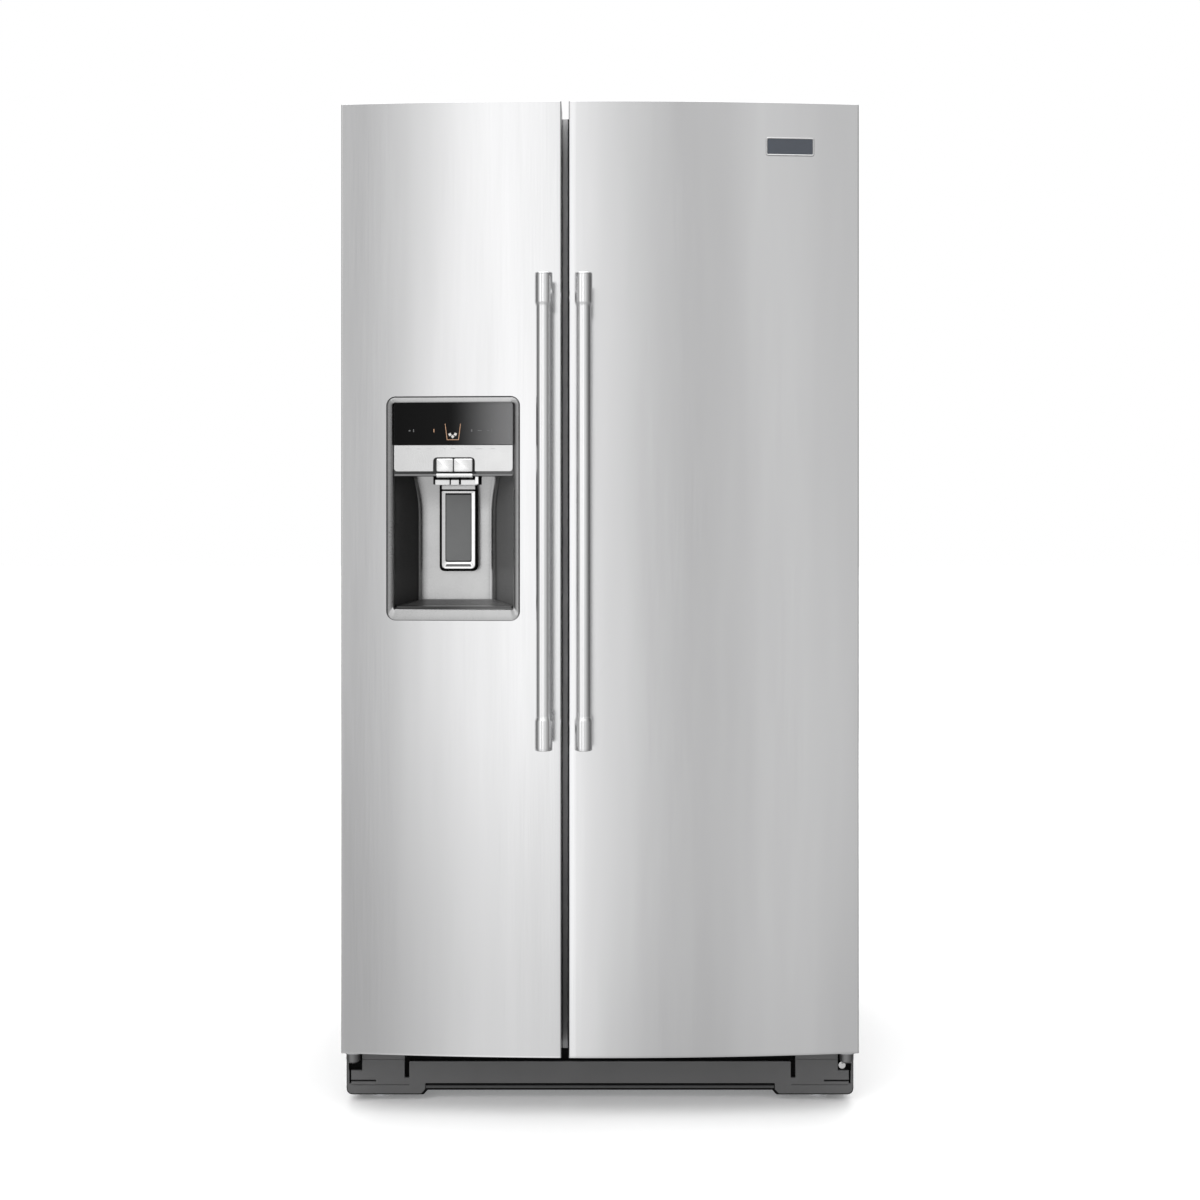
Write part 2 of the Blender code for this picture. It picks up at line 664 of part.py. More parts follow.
def bottom_hinge(name, side):
    """Angle bracket on the cabinet foot, with the lower pivot pin that carries the door."""
    x0, x1 = sorted((side * (PIN_X - 0.011), side * (PIN_X + 0.0195)))
    plate = box(name, (x0, PIN_Y - 0.011, 0.0965), (x1, CASE_Y - CLEAR, 0.1005), "bare_steel")
    x0, x1 = sorted((side * (PIN_X - 0.004), side * (PIN_X + 0.0195)))
    web = box(f"{name}_web", (x0, CASE_Y - 0.0040, 0.0610), (x1, CASE_Y - CLEAR, 0.0985))
    collar = rod(f"{name}_collar", (side * PIN_X, PIN_Y), "Z", 0.0995, 0.1040, 0.009, 20)
    pin = rod(f"{name}_pin", (side * PIN_X, PIN_Y), "Z", 0.0995, DOOR_BOTTOM + 0.022, HINGE_PIN_R, 20)
    bolt = rod(
        f"{name}_bolt", (side * (PIN_X + 0.008), 0.0790), "Y", CASE_Y - 0.0075, CASE_Y - 0.0030, 0.0055, 6
    )
    return join(plate, web, collar, pin, bolt)


# ---------------------------------------------------------------- machine and cooling
def compressor():
    """Welded steel shell with a domed top, on rubber footed rails."""
    r = 0.072
    profile = [
        (0, 0.066), (0.045, 0.066), (0.066, 0.075), (r, 0.090), (r, 0.175), (0.066, 0.200),
        (0.048, 0.219), (0.022, 0.227), (0, 0.228)
    ]
    shell = turned("compressor", profile, 24, "black_paint", (0.27, 0.325, 0))
    rail = box("compressor_rail", (0.175, 0.285, 0.0640), (0.365, 0.365, 0.0700))
    join(shell, rail)
    for i, (x, y) in enumerate(((0.183, 0.293), (0.357, 0.293), (0.183, 0.357), (0.357, 0.357))):
        join(shell, rod(f"compressor_foot_{i}", (x, y), "Z", FRAME_PLATE_Z[1] + CLEAR, 0.0650, 0.007, 10))
    return shell


def fan(name, centre, axis, radius, blades, finish):
    """Axial fan: a hub with a bore and pitched blades. The axis is X or Y."""
    hub_r, hub_half, bore_r = 0.016, 0.010, 0.0034
    hub = rod(name, (0, 0), "Z", -hub_half, hub_half, hub_r, 20, finish)
    pieces = []
    for i in range(blades):
        bm = bmesh.new()
        bmesh.ops.create_cube(bm, size=1.0)
        length = radius - hub_r + 0.006
        bmesh.ops.scale(bm, vec=(length, 0.030, 0.0025), verts=bm.verts)
        for vert in bm.verts:
            if vert.co.x > 0:
                vert.co.y *= 1.5
        bmesh.ops.rotate(
            bm, cent=(0, 0, 0), matrix=Matrix.Rotation(math.radians(28), 3, "X"), verts=bm.verts
        )
        bmesh.ops.translate(bm, vec=(hub_r - 0.006 + length / 2, 0, 0), verts=bm.verts)
        bmesh.ops.rotate(
            bm, cent=(0, 0, 0), matrix=Matrix.Rotation(2 * math.pi * i / blades, 3, "Z"), verts=bm.verts
        )
        pieces.append(finish_mesh(f"{name}_blade_{i}", bm))
    join(hub, *pieces)
    cut(hub, rod(f"{name}_bore", (0, 0), "Z", -0.03, 0.03, bore_r, 14))
    turn = Matrix.Rotation(math.pi / 2, 4, "Y" if axis == "X" else "X")
    for obj in (hub, *pieces, bpy.data.objects[f"{name}_bore"]):
        obj.data.transform(turn)
        obj.location = centre
    return hub


EVAPORATOR_FAN = (-0.248, 0.325, 1.130)
COVER_Y = (0.290, 0.2935)


def evaporator_cover():
    """Freezer back wall panel, with the fan opening and return air slots."""
    panel = box(
        "evaporator_cover", (FREEZER_X[0] + 0.002, COVER_Y[0], HUMP_TOP + 0.004),
        (FREEZER_X[1] - 0.002, COVER_Y[1], 1.480), "white_plastic"
    )
    cut(panel, rod("cover_fan_hole", (EVAPORATOR_FAN[0], EVAPORATOR_FAN[2]), "Y", 0.25, 0.36, 0.060, 24))
    for i in range(4):
        z = 0.400 + i * 0.016
        cut(panel, box(f"cover_return_{i}", (-0.350, 0.27, z), (-0.150, 0.31, z + 0.007)))
    bracket = box(
        "fan_bracket", (-0.326, COVER_Y[0] + 0.001, EVAPORATOR_FAN[2] - 0.006),
        (-0.170, 0.2965, EVAPORATOR_FAN[2] + 0.006)
    )
    motor = rod(
        "evaporator_fan_motor", (EVAPORATOR_FAN[0], EVAPORATOR_FAN[2]), "Y", 0.292, 0.3125, 0.014, 16
    )
    shaft = rod(
        "evaporator_fan_shaft", (EVAPORATOR_FAN[0], EVAPORATOR_FAN[2]), "Y", 0.300, 0.332, 0.003, 12
    )
    return join(panel, bracket, motor, shaft)


def ice_maker():
    """Mould tray with divided cells and a motor housing at the front."""
    mould = tray(
        "ice_maker", ((-0.385, 0.020), (-0.255, 0.255)), ((-0.370, 0.020), (-0.270, 0.255)),
        (1.520, 1.575), 0.003, "bare_steel"
    )
    for i in range(1, 7):
        y = 0.020 + i * 0.0336
        join(mould, box(f"ice_wall_{i}", (-0.375, y - 0.001, 1.5215), (-0.265, y + 0.001, 1.570)))
    motor = box("ice_motor", (-0.392, -0.035, 1.500), (-0.248, 0.0215, 1.610))
    hanger = box("ice_hanger", (-0.3855, 0.200, 1.570), (-0.3825, 0.254, CAVITY_TOP - CLEAR))
    return join(mould, motor, hanger)


def control_housing():
    """Temperature control and lamp housing under the fresh food ceiling."""
    low, high = (0.040, -0.050, 1.640), (0.340, 0.170, CAVITY_TOP - CLEAR)
    outline = [
        (low[1], high[2]), (low[1], low[2] + 0.020), (low[1] + 0.018, low[2]), (high[1], low[2]),
        (high[1], high[2])
    ]
    return prism("control_housing", outline, "X", low[0], high[0], "white_plastic")


# ---------------------------------------------------------------- doors
def pivot_holes(name, side):
    x = side * PIN_X
    top = rod(f"{name}_top_pivot", (x, PIN_Y), "Z", DOOR_TOP - 0.026, DOOR_TOP + 0.02, HINGE_HOLE_R, 20)
    bottom = rod(
        f"{name}_bottom_pivot", (x, PIN_Y), "Z", DOOR_BOTTOM - 0.02, DOOR_BOTTOM + 0.026, HINGE_HOLE_R, 20
    )
    return top, bottom


def dispenser_hole(name, grow):
    half, z0, z1 = WINDOW_HALF + 0.005 + grow, WINDOW_Z[0] - 0.0144 - grow, WINDOW_Z[1] + 0.0028 + grow
    return box(
        name, (DISPENSER_X - half, EDGE_Y - 0.1, z0),
        (DISPENSER_X + half, RECESS_BACK_Y + 0.004 + grow, z1)
    )


def door_skin(name, x_range, side):
    """Formed stainless sheet: bowed front with returns on all four sides, open at the back."""
    skin = prism(name, door_outline(x_range), "Z", DOOR_BOTTOM, DOOR_TOP, "stainless", 30)
    inner = door_outline(x_range, SKIN)
    inner[0] = (inner[0][0], DOOR_BACK_Y + 0.05)
    inner[-1] = (inner[-1][0], DOOR_BACK_Y + 0.05)
    cut(skin, prism(f"{name}_inside", inner, "Z", DOOR_BOTTOM + SKIN, DOOR_TOP - SKIN))
    return cut(skin, *pivot_holes(name, side))


def door_core(name, door_x, cavity_x, ribs_z, side):
    """Foam filled inner door: the moulded inner panel with two upright ribs that hold the bins."""
    outline = door_outline(door_x, SKIN + CLEAR)
    core = prism(name, outline, "Z", DOOR_BOTTOM + SKIN + CLEAR, DOOR_TOP - SKIN - CLEAR, "white_plastic")
    x0, x1 = cavity_x[0] + RIB_INSET, cavity_x[1] - RIB_INSET
    pad = box(
        f"{name}_pad", (x0, DOOR_BACK_Y - 0.01, CAVITY_FLOOR + 0.016),
        (x1, DOOR_BACK_Y + PAD_DEPTH, CAVITY_TOP - 0.016)
    )
    join(core, pad)
    for label, (a, b) in (("hinge", (x0, x0 + RIB_WIDTH)), ("free", (x1 - RIB_WIDTH, x1))):
        rib = prism(
            f"{name}_rib_{label}",
            [
                (DOOR_BACK_Y - 0.01, ribs_z[0]), (DOOR_BACK_Y + PAD_DEPTH, ribs_z[0]), (
                    DOOR_BACK_Y + RIB_DEPTH, ribs_z[0] + 0.030
                ),
                (
                    DOOR_BACK_Y + RIB_DEPTH, ribs_z[1] - 0.030
                ), (DOOR_BACK_Y + PAD_DEPTH, ribs_z[1]), (DOOR_BACK_Y - 0.01, ribs_z[1]),
            ],
            "X", a, b,
        )
        join(core, rib)
    return cut(core, *pivot_holes(name, side))


def gasket(name, x_range, hinge_inset, free_inset, side):
    """Magnetic seal: a flat ring between the door and the face of the cabinet."""
    width = 0.014
    x0 = x_range[0] + (hinge_inset if side < 0 else free_inset)
    x1 = x_range[1] - (free_inset if side < 0 else hinge_inset)
    z0, z1 = 0.1400, CASE_TOP - 0.014
    y0, y1 = DOOR_BACK_Y + CLEAR, CASE_Y - 0.0012
    ring = box(name, (x0, y0, z0), (x1, y1, z1), "gasket_rubber")
    return cut(
        ring,
        box(f"{name}_inside", (x0 + width, y0 - 0.02, z0 + width), (x1 - width, y1 + 0.02, z1 - width))
    )


HANDLE_Z = (0.6482, 1.4619)
CAP_LENGTH = 0.058
HANDLE_X = {"freezer": -0.0963, "fridge": -0.0262}


def handle(label):
    """Round bar held by two end caps, each with a post to the door front."""
    x = HANDLE_X[label]
    low, high = HANDLE_Z
    bar = rod(
        f"{label}_handle_bar", (x, HANDLE_Y), "Z", low + CAP_LENGTH + CLEAR, high - CAP_LENGTH - CLEAR,
        HANDLE_TUBE_R, 24, "handle_steel"
    )
    made = [bar]
    for end, z_tip, direction in (("top", high, -1), ("bottom", low, 1)):
        profile = [
            (0, 0), (HANDLE_CAP_R - 0.0015, 0), (HANDLE_CAP_R, 0.0015), (
                HANDLE_CAP_R, CAP_LENGTH - 0.012
            ),
            (
                HANDLE_CAP_R - 0.0006, CAP_LENGTH - 0.009
            ), (HANDLE_TUBE_R + 0.0004, CAP_LENGTH), (0, CAP_LENGTH),
        ]
        shape = [(r, z_tip + direction * h) for r, h in profile]
        cap = turned(f"{label}_handle_{end}", shape, 24, "handle_steel", (x, HANDLE_Y, 0))
        z_post = z_tip + direction * 0.031
        post = rod(f"{label}_post_{end}", (x, z_post), "Y", HANDLE_Y, face_y(x) - 0.0008, 0.0105, 20)
        made.append(join(cap, post))
    return made


def door_bin(name, x_range, z_range, depth, finish, wall=0.003):
    """An open bin between the ribs of a door, with a tapered front."""
    x0, x1 = x_range[0] + RIB_INSET + RIB_WIDTH + 0.0015, x_range[1] - RIB_INSET - RIB_WIDTH - 0.0015
    y0, y1 = DOOR_BACK_Y + PAD_DEPTH + CLEAR, DOOR_BACK_Y + depth
    return tray(
        name, ((x0, y0), (x1, y1)), ((x0 + 0.003, y0), (x1 - 0.003, y1 - 0.012)), z_range, wall, finish
    )


# ---------------------------------------------------------------- dispenser
def recess_outline(front_extra):
    """Plan of the glass recess: slanted side walls and a narrower flat back."""
    x, front = DISPENSER_X, EDGE_Y - BULGE - front_extra
    return [
        (x - WINDOW_HALF, front), (x + WINDOW_HALF, front), (x + WINDOW_HALF, EDGE_Y + 0.002),
        (x + RECESS_BACK_HALF + 0.014, RECESS_BACK_Y - 0.012), (x + RECESS_BACK_HALF, RECESS_BACK_Y),
        (x - RECESS_BACK_HALF, RECESS_BACK_Y), (x - RECESS_BACK_HALF - 0.014, RECESS_BACK_Y - 0.012),
        (x - WINDOW_HALF, EDGE_Y + 0.002),
    ]


def dispenser_housing():
    """One moulding: bezel, fascia, recess and outlet nozzle."""
    x0, x1 = DISPENSER_X - DISPENSER_HALF, DISPENSER_X + DISPENSER_HALF
    bezel = face_plate(
        "dispenser_housing", (x0, x1), DISPENSER_Z, 0.016, 0.0032, -0.0004, "silver_plastic"
    )
    tub_half = WINDOW_HALF + 0.0044
    tub = face_strip(
        "dispenser_tub", (
            DISPENSER_X - tub_half, DISPENSER_X + tub_half
        ), (WINDOW_Z[0] - 0.0138, WINDOW_Z[1] + 0.0022), 0.001, 0.030
    )
    block = box(
        "dispenser_block",
        (DISPENSER_X - tub_half, EDGE_Y - 0.004, WINDOW_Z[0] - 0.0138),
        (DISPENSER_X + tub_half, RECESS_BACK_Y + 0.0034, WINDOW_Z[1] + 0.0022),
    )
    join(bezel, tub, block)
    recess = prism("recess_space", recess_outline(0.1), "Z", WINDOW_Z[0], RECESS_TOP)
    seat = face_strip(
        "panel_seat", (
            DISPENSER_X - WINDOW_HALF, DISPENSER_X + WINDOW_HALF
        ), (PANEL_BOTTOM - 0.0004, WINDOW_Z[1]), 0.02, 0.0050
    )
    keys = box(
        "button_seat", (BUTTON_X[0] - 0.0006, EDGE_Y - 0.1, RECESS_TOP - 0.01),
        (BUTTON_X[1] + 0.0006, EDGE_Y + 0.010, BUTTON_Z[1] + 0.0006)
    )
    relief = face_strip(
        "fascia_relief", (
            DISPENSER_X - WINDOW_HALF, DISPENSER_X + WINDOW_HALF
        ), (RECESS_TOP - 0.01, PANEL_BOTTOM), 0.02, -0.0008
    )
    cut(bezel, recess, seat, keys, relief)
    nozzle = prism(
        "outlet_nozzle",
        [
            (-0.290, EDGE_Y + 0.012), (-0.213, EDGE_Y + 0.012), (-0.222, EDGE_Y + 0.050),
            (-0.281, EDGE_Y + 0.050)
        ],
        "Z", NOZZLE_Z, RECESS_TOP + 0.004,
    )
    rail_y = (EDGE_Y - 0.0262, EDGE_Y + 0.012)
    rail = box(
        "key_rail", (BUTTON_X[0], rail_y[0], KEY_RAIL_Z[0]), (BUTTON_X[1], rail_y[1], KEY_RAIL_Z[1])
    )
    return join(bezel, nozzle, rail)


def control_panel():
    x0, x1 = DISPENSER_X - WINDOW_HALF + 0.0005, DISPENSER_X + WINDOW_HALF - 0.0005
    return face_strip(
        "control_panel", (x0, x1), (PANEL_BOTTOM + 0.0002, WINDOW_Z[1] - 0.0005), 0.0006, 0.0044,
        "black_glass"
    )


def dispenser_button(name, x_range):
    """A key with a softly domed face."""
    face = EDGE_Y - 0.0205
    z0, z1 = BUTTON_Z
    profile = [
        (face - 0.0010, z1), (
            face - 0.0050, z1 - 0.0030
        ), (face - 0.0060, z0 + 0.008), (face - 0.0050, z0),
        (face + 0.010, z0), (face + 0.010, z1),
    ]
    return prism(name, profile, "X", x_range[0], x_range[1], "silver_plastic")


def dispenser_lever():
    """Paddle that hangs in front of the recess back, with a soft pad in its frame."""
    y1 = RECESS_BACK_Y - 0.0230
    y0 = y1 - 0.008
    x0, x1 = LEVER_X - LEVER_HALF, LEVER_X + LEVER_HALF
    z0, z1 = LEVER_Z
    profile = [
        (y0 + 0.002, z1), (y0, z1 - 0.006), (y0, z0 + 0.016), (y0 - 0.006, z0 + 0.004), (y0 - 0.004, z0),
        (y1, z0), (y1, z1)
    ]
    paddle = prism("dispenser_lever", profile, "X", x0, x1, "silver_plastic")
    pad_seat = box(
        "lever_pad_seat", (x0 + 0.009, y0 - 0.02, z0 + 0.018), (x1 - 0.009, y0 + 0.002, z1 - 0.016)
    )
    cut(paddle, pad_seat)
    arm = [
        (y1 - 0.002, z1 - 0.020), (y1 + 0.006, z1 - 0.020), (y1 + 0.006, RECESS_TOP - 0.005),
        (y1 + 0.0015, RECESS_TOP - 0.005), (y1 + 0.0015, z1 + 0.002), (y1 - 0.002, z1 - 0.002),
    ]
    return join(paddle, prism("lever_arm", arm, "X", LEVER_X - 0.012, LEVER_X + 0.012))


def drip_tray():
    """Lift out grille on the recess floor."""
    outline = [
        (
            DISPENSER_X - WINDOW_HALF + 0.003, EDGE_Y - 0.006
        ), (DISPENSER_X + WINDOW_HALF - 0.003, EDGE_Y - 0.006),
        (DISPENSER_X + WINDOW_HALF - 0.003, EDGE_Y + 0.001), (
            DISPENSER_X + RECESS_BACK_HALF + 0.008, RECESS_BACK_Y - 0.012
        ),
        (
            DISPENSER_X + RECESS_BACK_HALF - 0.004, RECESS_BACK_Y - 0.002
        ), (DISPENSER_X - RECESS_BACK_HALF + 0.004, RECESS_BACK_Y - 0.002),
        (
            DISPENSER_X - RECESS_BACK_HALF - 0.008, RECESS_BACK_Y - 0.012
        ), (DISPENSER_X - WINDOW_HALF + 0.003, EDGE_Y + 0.001),
    ]
    return prism("drip_tray", outline, "Z", WINDOW_Z[0] + CLEAR, WINDOW_Z[0] + 0.0050, "dark_plastic")


# ---------------------------------------------------------------- assembly
SHELF_BACK_Y = CAVITY_BACK_Y - 0.012
FREEZER_DEPTH_Y = COVER_Y[0] - 0.004
DRAWER_BACK_Y = HUMP_Y - 0.010


def build_cabinet():
    outer_case()
    foam_insulation()
    back_panel()
    flange_side = CASE_WIDTH / 2 - 0.0246
    liner(
        "freezer_liner", FREEZER_X, (-flange_side, FREEZER_X[1] + LINER_LIP),
        [(0.640, SHELF_FRONT_Y + 0.020, FREEZER_DEPTH_Y)],
        [
            (0.1850, DRAWER_FRONT_Y + 0.010, DRAWER_BACK_Y),
            (0.960, SHELF_FRONT_Y + 0.020, FREEZER_DEPTH_Y)
        ],
    )
    liner(
        "fridge_liner", FRIDGE_X, (FRIDGE_X[0] - LINER_LIP, flange_side),
        [(z, SHELF_FRONT_Y + 0.020, SHELF_BACK_Y) for z in (0.610, 0.930, 1.260)],
        [(0.1850, DRAWER_FRONT_Y + 0.010, DRAWER_BACK_Y), (0.3980, DRAWER_FRONT_Y + 0.010, SHELF_BACK_Y)],
    )
    base_frame()
    base_grille()
    machine_cover()
    compressor()
    tube_run("condenser_coil", serpentine((-0.400, -0.060), 0.085, 0.026, 8, 0.325), 0.0045, "copper")
    tube_run(
        "evaporator_coil", serpentine((-0.385, -0.112), 0.420, 0.040, 10, 0.334), 0.0050, "bare_steel"
    )
    evaporator_cover()
    ice_maker()
    control_housing()
    for label, side in (("left", -1), ("right", 1)):
        top_hinge(f"top_hinge_{label}", side)
        hinge_cover(f"hinge_cover_{label}", side)
        bottom_hinge(f"bottom_hinge_{label}", side)
        leveling_foot(f"leveling_foot_{label}", side)
        roller(f"front_roller_{label}", side, *FRONT_ROLLER)
        roller(f"rear_roller_{label}", side, *REAR_ROLLER)
    fan("condenser_fan", (FAN_X, *FAN_YZ), "X", 0.075, 5, "dark_plastic")
    fan("evaporator_fan", EVAPORATOR_FAN, "Y", 0.052, 5, "white_plastic")
    shelf("fridge_shelf_upper", FRIDGE_X, 1.260, SHELF_BACK_Y, "shelf_glass")
    shelf("fridge_shelf_lower", FRIDGE_X, 0.930, SHELF_BACK_Y, "shelf_glass")
    shelf("crisper_cover", FRIDGE_X, 0.610, SHELF_BACK_Y, "shelf_glass")
    shelf("freezer_shelf_upper", FREEZER_X, 0.960, FREEZER_DEPTH_Y, "shelf_glass")
    shelf("freezer_shelf_lower", FREEZER_X, 0.640, FREEZER_DEPTH_Y, "shelf_glass")
    inset = 0.0040
    fridge_drawer_x = (FRIDGE_X[0] + inset, FRIDGE_X[1] - inset)
    freezer_drawer_x = (FREEZER_X[0] + inset, FREEZER_X[1] - inset)
    drawer("crisper_drawer", fridge_drawer_x, (0.1854, 0.3880), DRAWER_BACK_Y, "clear_plastic")
    drawer("deli_drawer", fridge_drawer_x, (0.3984, 0.5850), SHELF_BACK_Y - 0.010, "clear_plastic")
    drawer("freezer_basket", freezer_drawer_x, (0.1854, 0.4300), DRAWER_BACK_Y, "clear_plastic")


def build_freezer_door():
    skin = door_skin("freezer_door_skin", FREEZER_DOOR_X, -1)
    cut(skin, dispenser_hole("skin_dispenser_hole", 0.0))
    core = door_core("freezer_door_core", FREEZER_DOOR_X, FREEZER_X, (0.500, 1.670), -1)
    x0, x1 = FREEZER_X[0] + RIB_INSET + 0.001, FREEZER_X[1] - RIB_INSET - 0.001
    bulge = box("dispenser_bulge", (x0, DOOR_BACK_Y - 0.01, 0.850), (x1, RECESS_BACK_Y + 0.032, 1.270))
    join(core, bulge)
    cut(core, dispenser_hole("core_dispenser_pocket", 0.0002))
    gasket("freezer_door_gasket", FREEZER_DOOR_X, 0.024, 0.008, -1)
    handle("freezer")
    dispenser_housing()
    control_panel()
    split = (BUTTON_X[0] + BUTTON_X[1]) / 2
    dispenser_button("ice_button", (BUTTON_X[0], split - 0.0004))
    dispenser_button("water_button", (split + 0.0004, BUTTON_X[1]))
    dispenser_lever()
    drip_tray()
    door_bin("ice_bin", FREEZER_X, (1.300, 1.560), 0.110, "clear_plastic", 0.004)
    door_bin("freezer_door_bin", FREEZER_X, (0.560, 0.690), 0.105, "clear_plastic")


def build_fridge_door():
    door_skin("fridge_door_skin", FRIDGE_DOOR_X, 1)
    door_core("fridge_door_core", FRIDGE_DOOR_X, FRIDGE_X, (0.620, 1.670), 1)
    gasket("fridge_door_gasket", FRIDGE_DOOR_X, 0.024, 0.008, 1)
    handle("fridge")
    plate_x, plate_z = (0.2895, 0.3745), (1.6760, 1.7080)
    face_plate("name_plate", plate_x, plate_z, 0.004, 0.0022, -0.0004, "silver_plastic")
    door_bin("dairy_bin", FRIDGE_X, (1.420, 1.470), 0.108, "clear_plastic")
    door_bin("fridge_door_bin", FRIDGE_X, (0.660, 0.790), BIN_DEPTH, "clear_plastic")
    x0 = FRIDGE_X[0] + RIB_INSET + RIB_WIDTH + 0.003
    x1 = FRIDGE_X[1] - RIB_INSET - RIB_WIDTH - 0.003
    y0, y1 = DOOR_BACK_Y + PAD_DEPTH + 0.002, DOOR_BACK_Y + 0.108
    lid = prism(
        "dairy_lid",
        [
            (y0, 1.5750), (y0 + 0.020, 1.5750), (y1, 1.5350), (y1, 1.4706), (y1 - 0.003, 1.4706),
            (y1 - 0.003, 1.5335), (y0 + 0.019, 1.5720), (y0, 1.5720),
        ],
        "X", x0, x1, "clear_plastic",
    )
    return lid


def main():
    clear_scene()
    build_cabinet()
    build_freezer_door()
    build_fridge_door()


main()
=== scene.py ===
"""The looks of a side by side refrigerator with an ice and water dispenser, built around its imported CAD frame.

Units are metres. +X is to the right of a person facing the doors, +Y runs from the doors to the back, +Z is up.
Places come from the boxes of the CAD nodes and from the few driving values below.
"""

import math

import bmesh
import bpy
from mathutils import Matrix, Vector


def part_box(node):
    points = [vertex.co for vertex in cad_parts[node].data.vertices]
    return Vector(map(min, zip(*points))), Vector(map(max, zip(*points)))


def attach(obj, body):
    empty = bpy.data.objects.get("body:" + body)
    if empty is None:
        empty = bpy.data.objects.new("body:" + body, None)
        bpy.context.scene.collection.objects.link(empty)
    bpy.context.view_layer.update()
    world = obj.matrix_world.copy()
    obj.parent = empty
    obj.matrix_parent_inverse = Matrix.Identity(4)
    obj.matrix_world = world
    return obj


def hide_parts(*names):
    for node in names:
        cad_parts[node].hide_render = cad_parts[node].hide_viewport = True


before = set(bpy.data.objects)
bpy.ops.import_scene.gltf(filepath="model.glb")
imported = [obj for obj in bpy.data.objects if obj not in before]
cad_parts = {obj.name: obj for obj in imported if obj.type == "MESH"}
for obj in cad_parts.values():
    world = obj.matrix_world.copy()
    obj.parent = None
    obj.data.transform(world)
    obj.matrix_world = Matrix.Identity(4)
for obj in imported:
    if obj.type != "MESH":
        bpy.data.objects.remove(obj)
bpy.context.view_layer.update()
LOW = {name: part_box(name)[0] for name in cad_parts}
HIGH = {name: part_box(name)[1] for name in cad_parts}

# ---------------------------------------------------------------- driving values
BULGE = 0.025  # how far the door fronts bow out at the middle of the appliance
DOOR_EDGE_DEPTH = 0.055  # thickness of a door at its hinge edge
DOOR_BACK_Y = HIGH["freezer_door_skin"].y
EDGE_Y = DOOR_BACK_Y - DOOR_EDGE_DEPTH  # front of the doors at their outer edges
HALF = HIGH["fridge_door_skin"].x
FACE_RADIUS = (HALF**2 + BULGE**2) / (2 * BULGE)
CASE_Y = LOW["outer_case"].y
CASE_BACK_Y = HIGH["outer_case"].y
CASE_HALF = HIGH["outer_case"].x
CASE_TOP = HIGH["outer_case"].z
SHELF_PLAY = 0.0015  # between a shelf and the side wall of its compartment
CAVITY_X = {
    "freezer": (LOW["freezer_shelf_upper"].x - SHELF_PLAY, HIGH["freezer_shelf_upper"].x + SHELF_PLAY),
    "fridge": (LOW["fridge_shelf_upper"].x - SHELF_PLAY, HIGH["fridge_shelf_upper"].x + SHELF_PLAY),
}
CAVITY_Z = (0.165, 1.700)
CAVITY_BACK_Y = HIGH["fridge_shelf_upper"].y + 0.012
HUMP_Y = 0.170  # the machine compartment raises the floor behind this
HUMP_TOP = 0.360

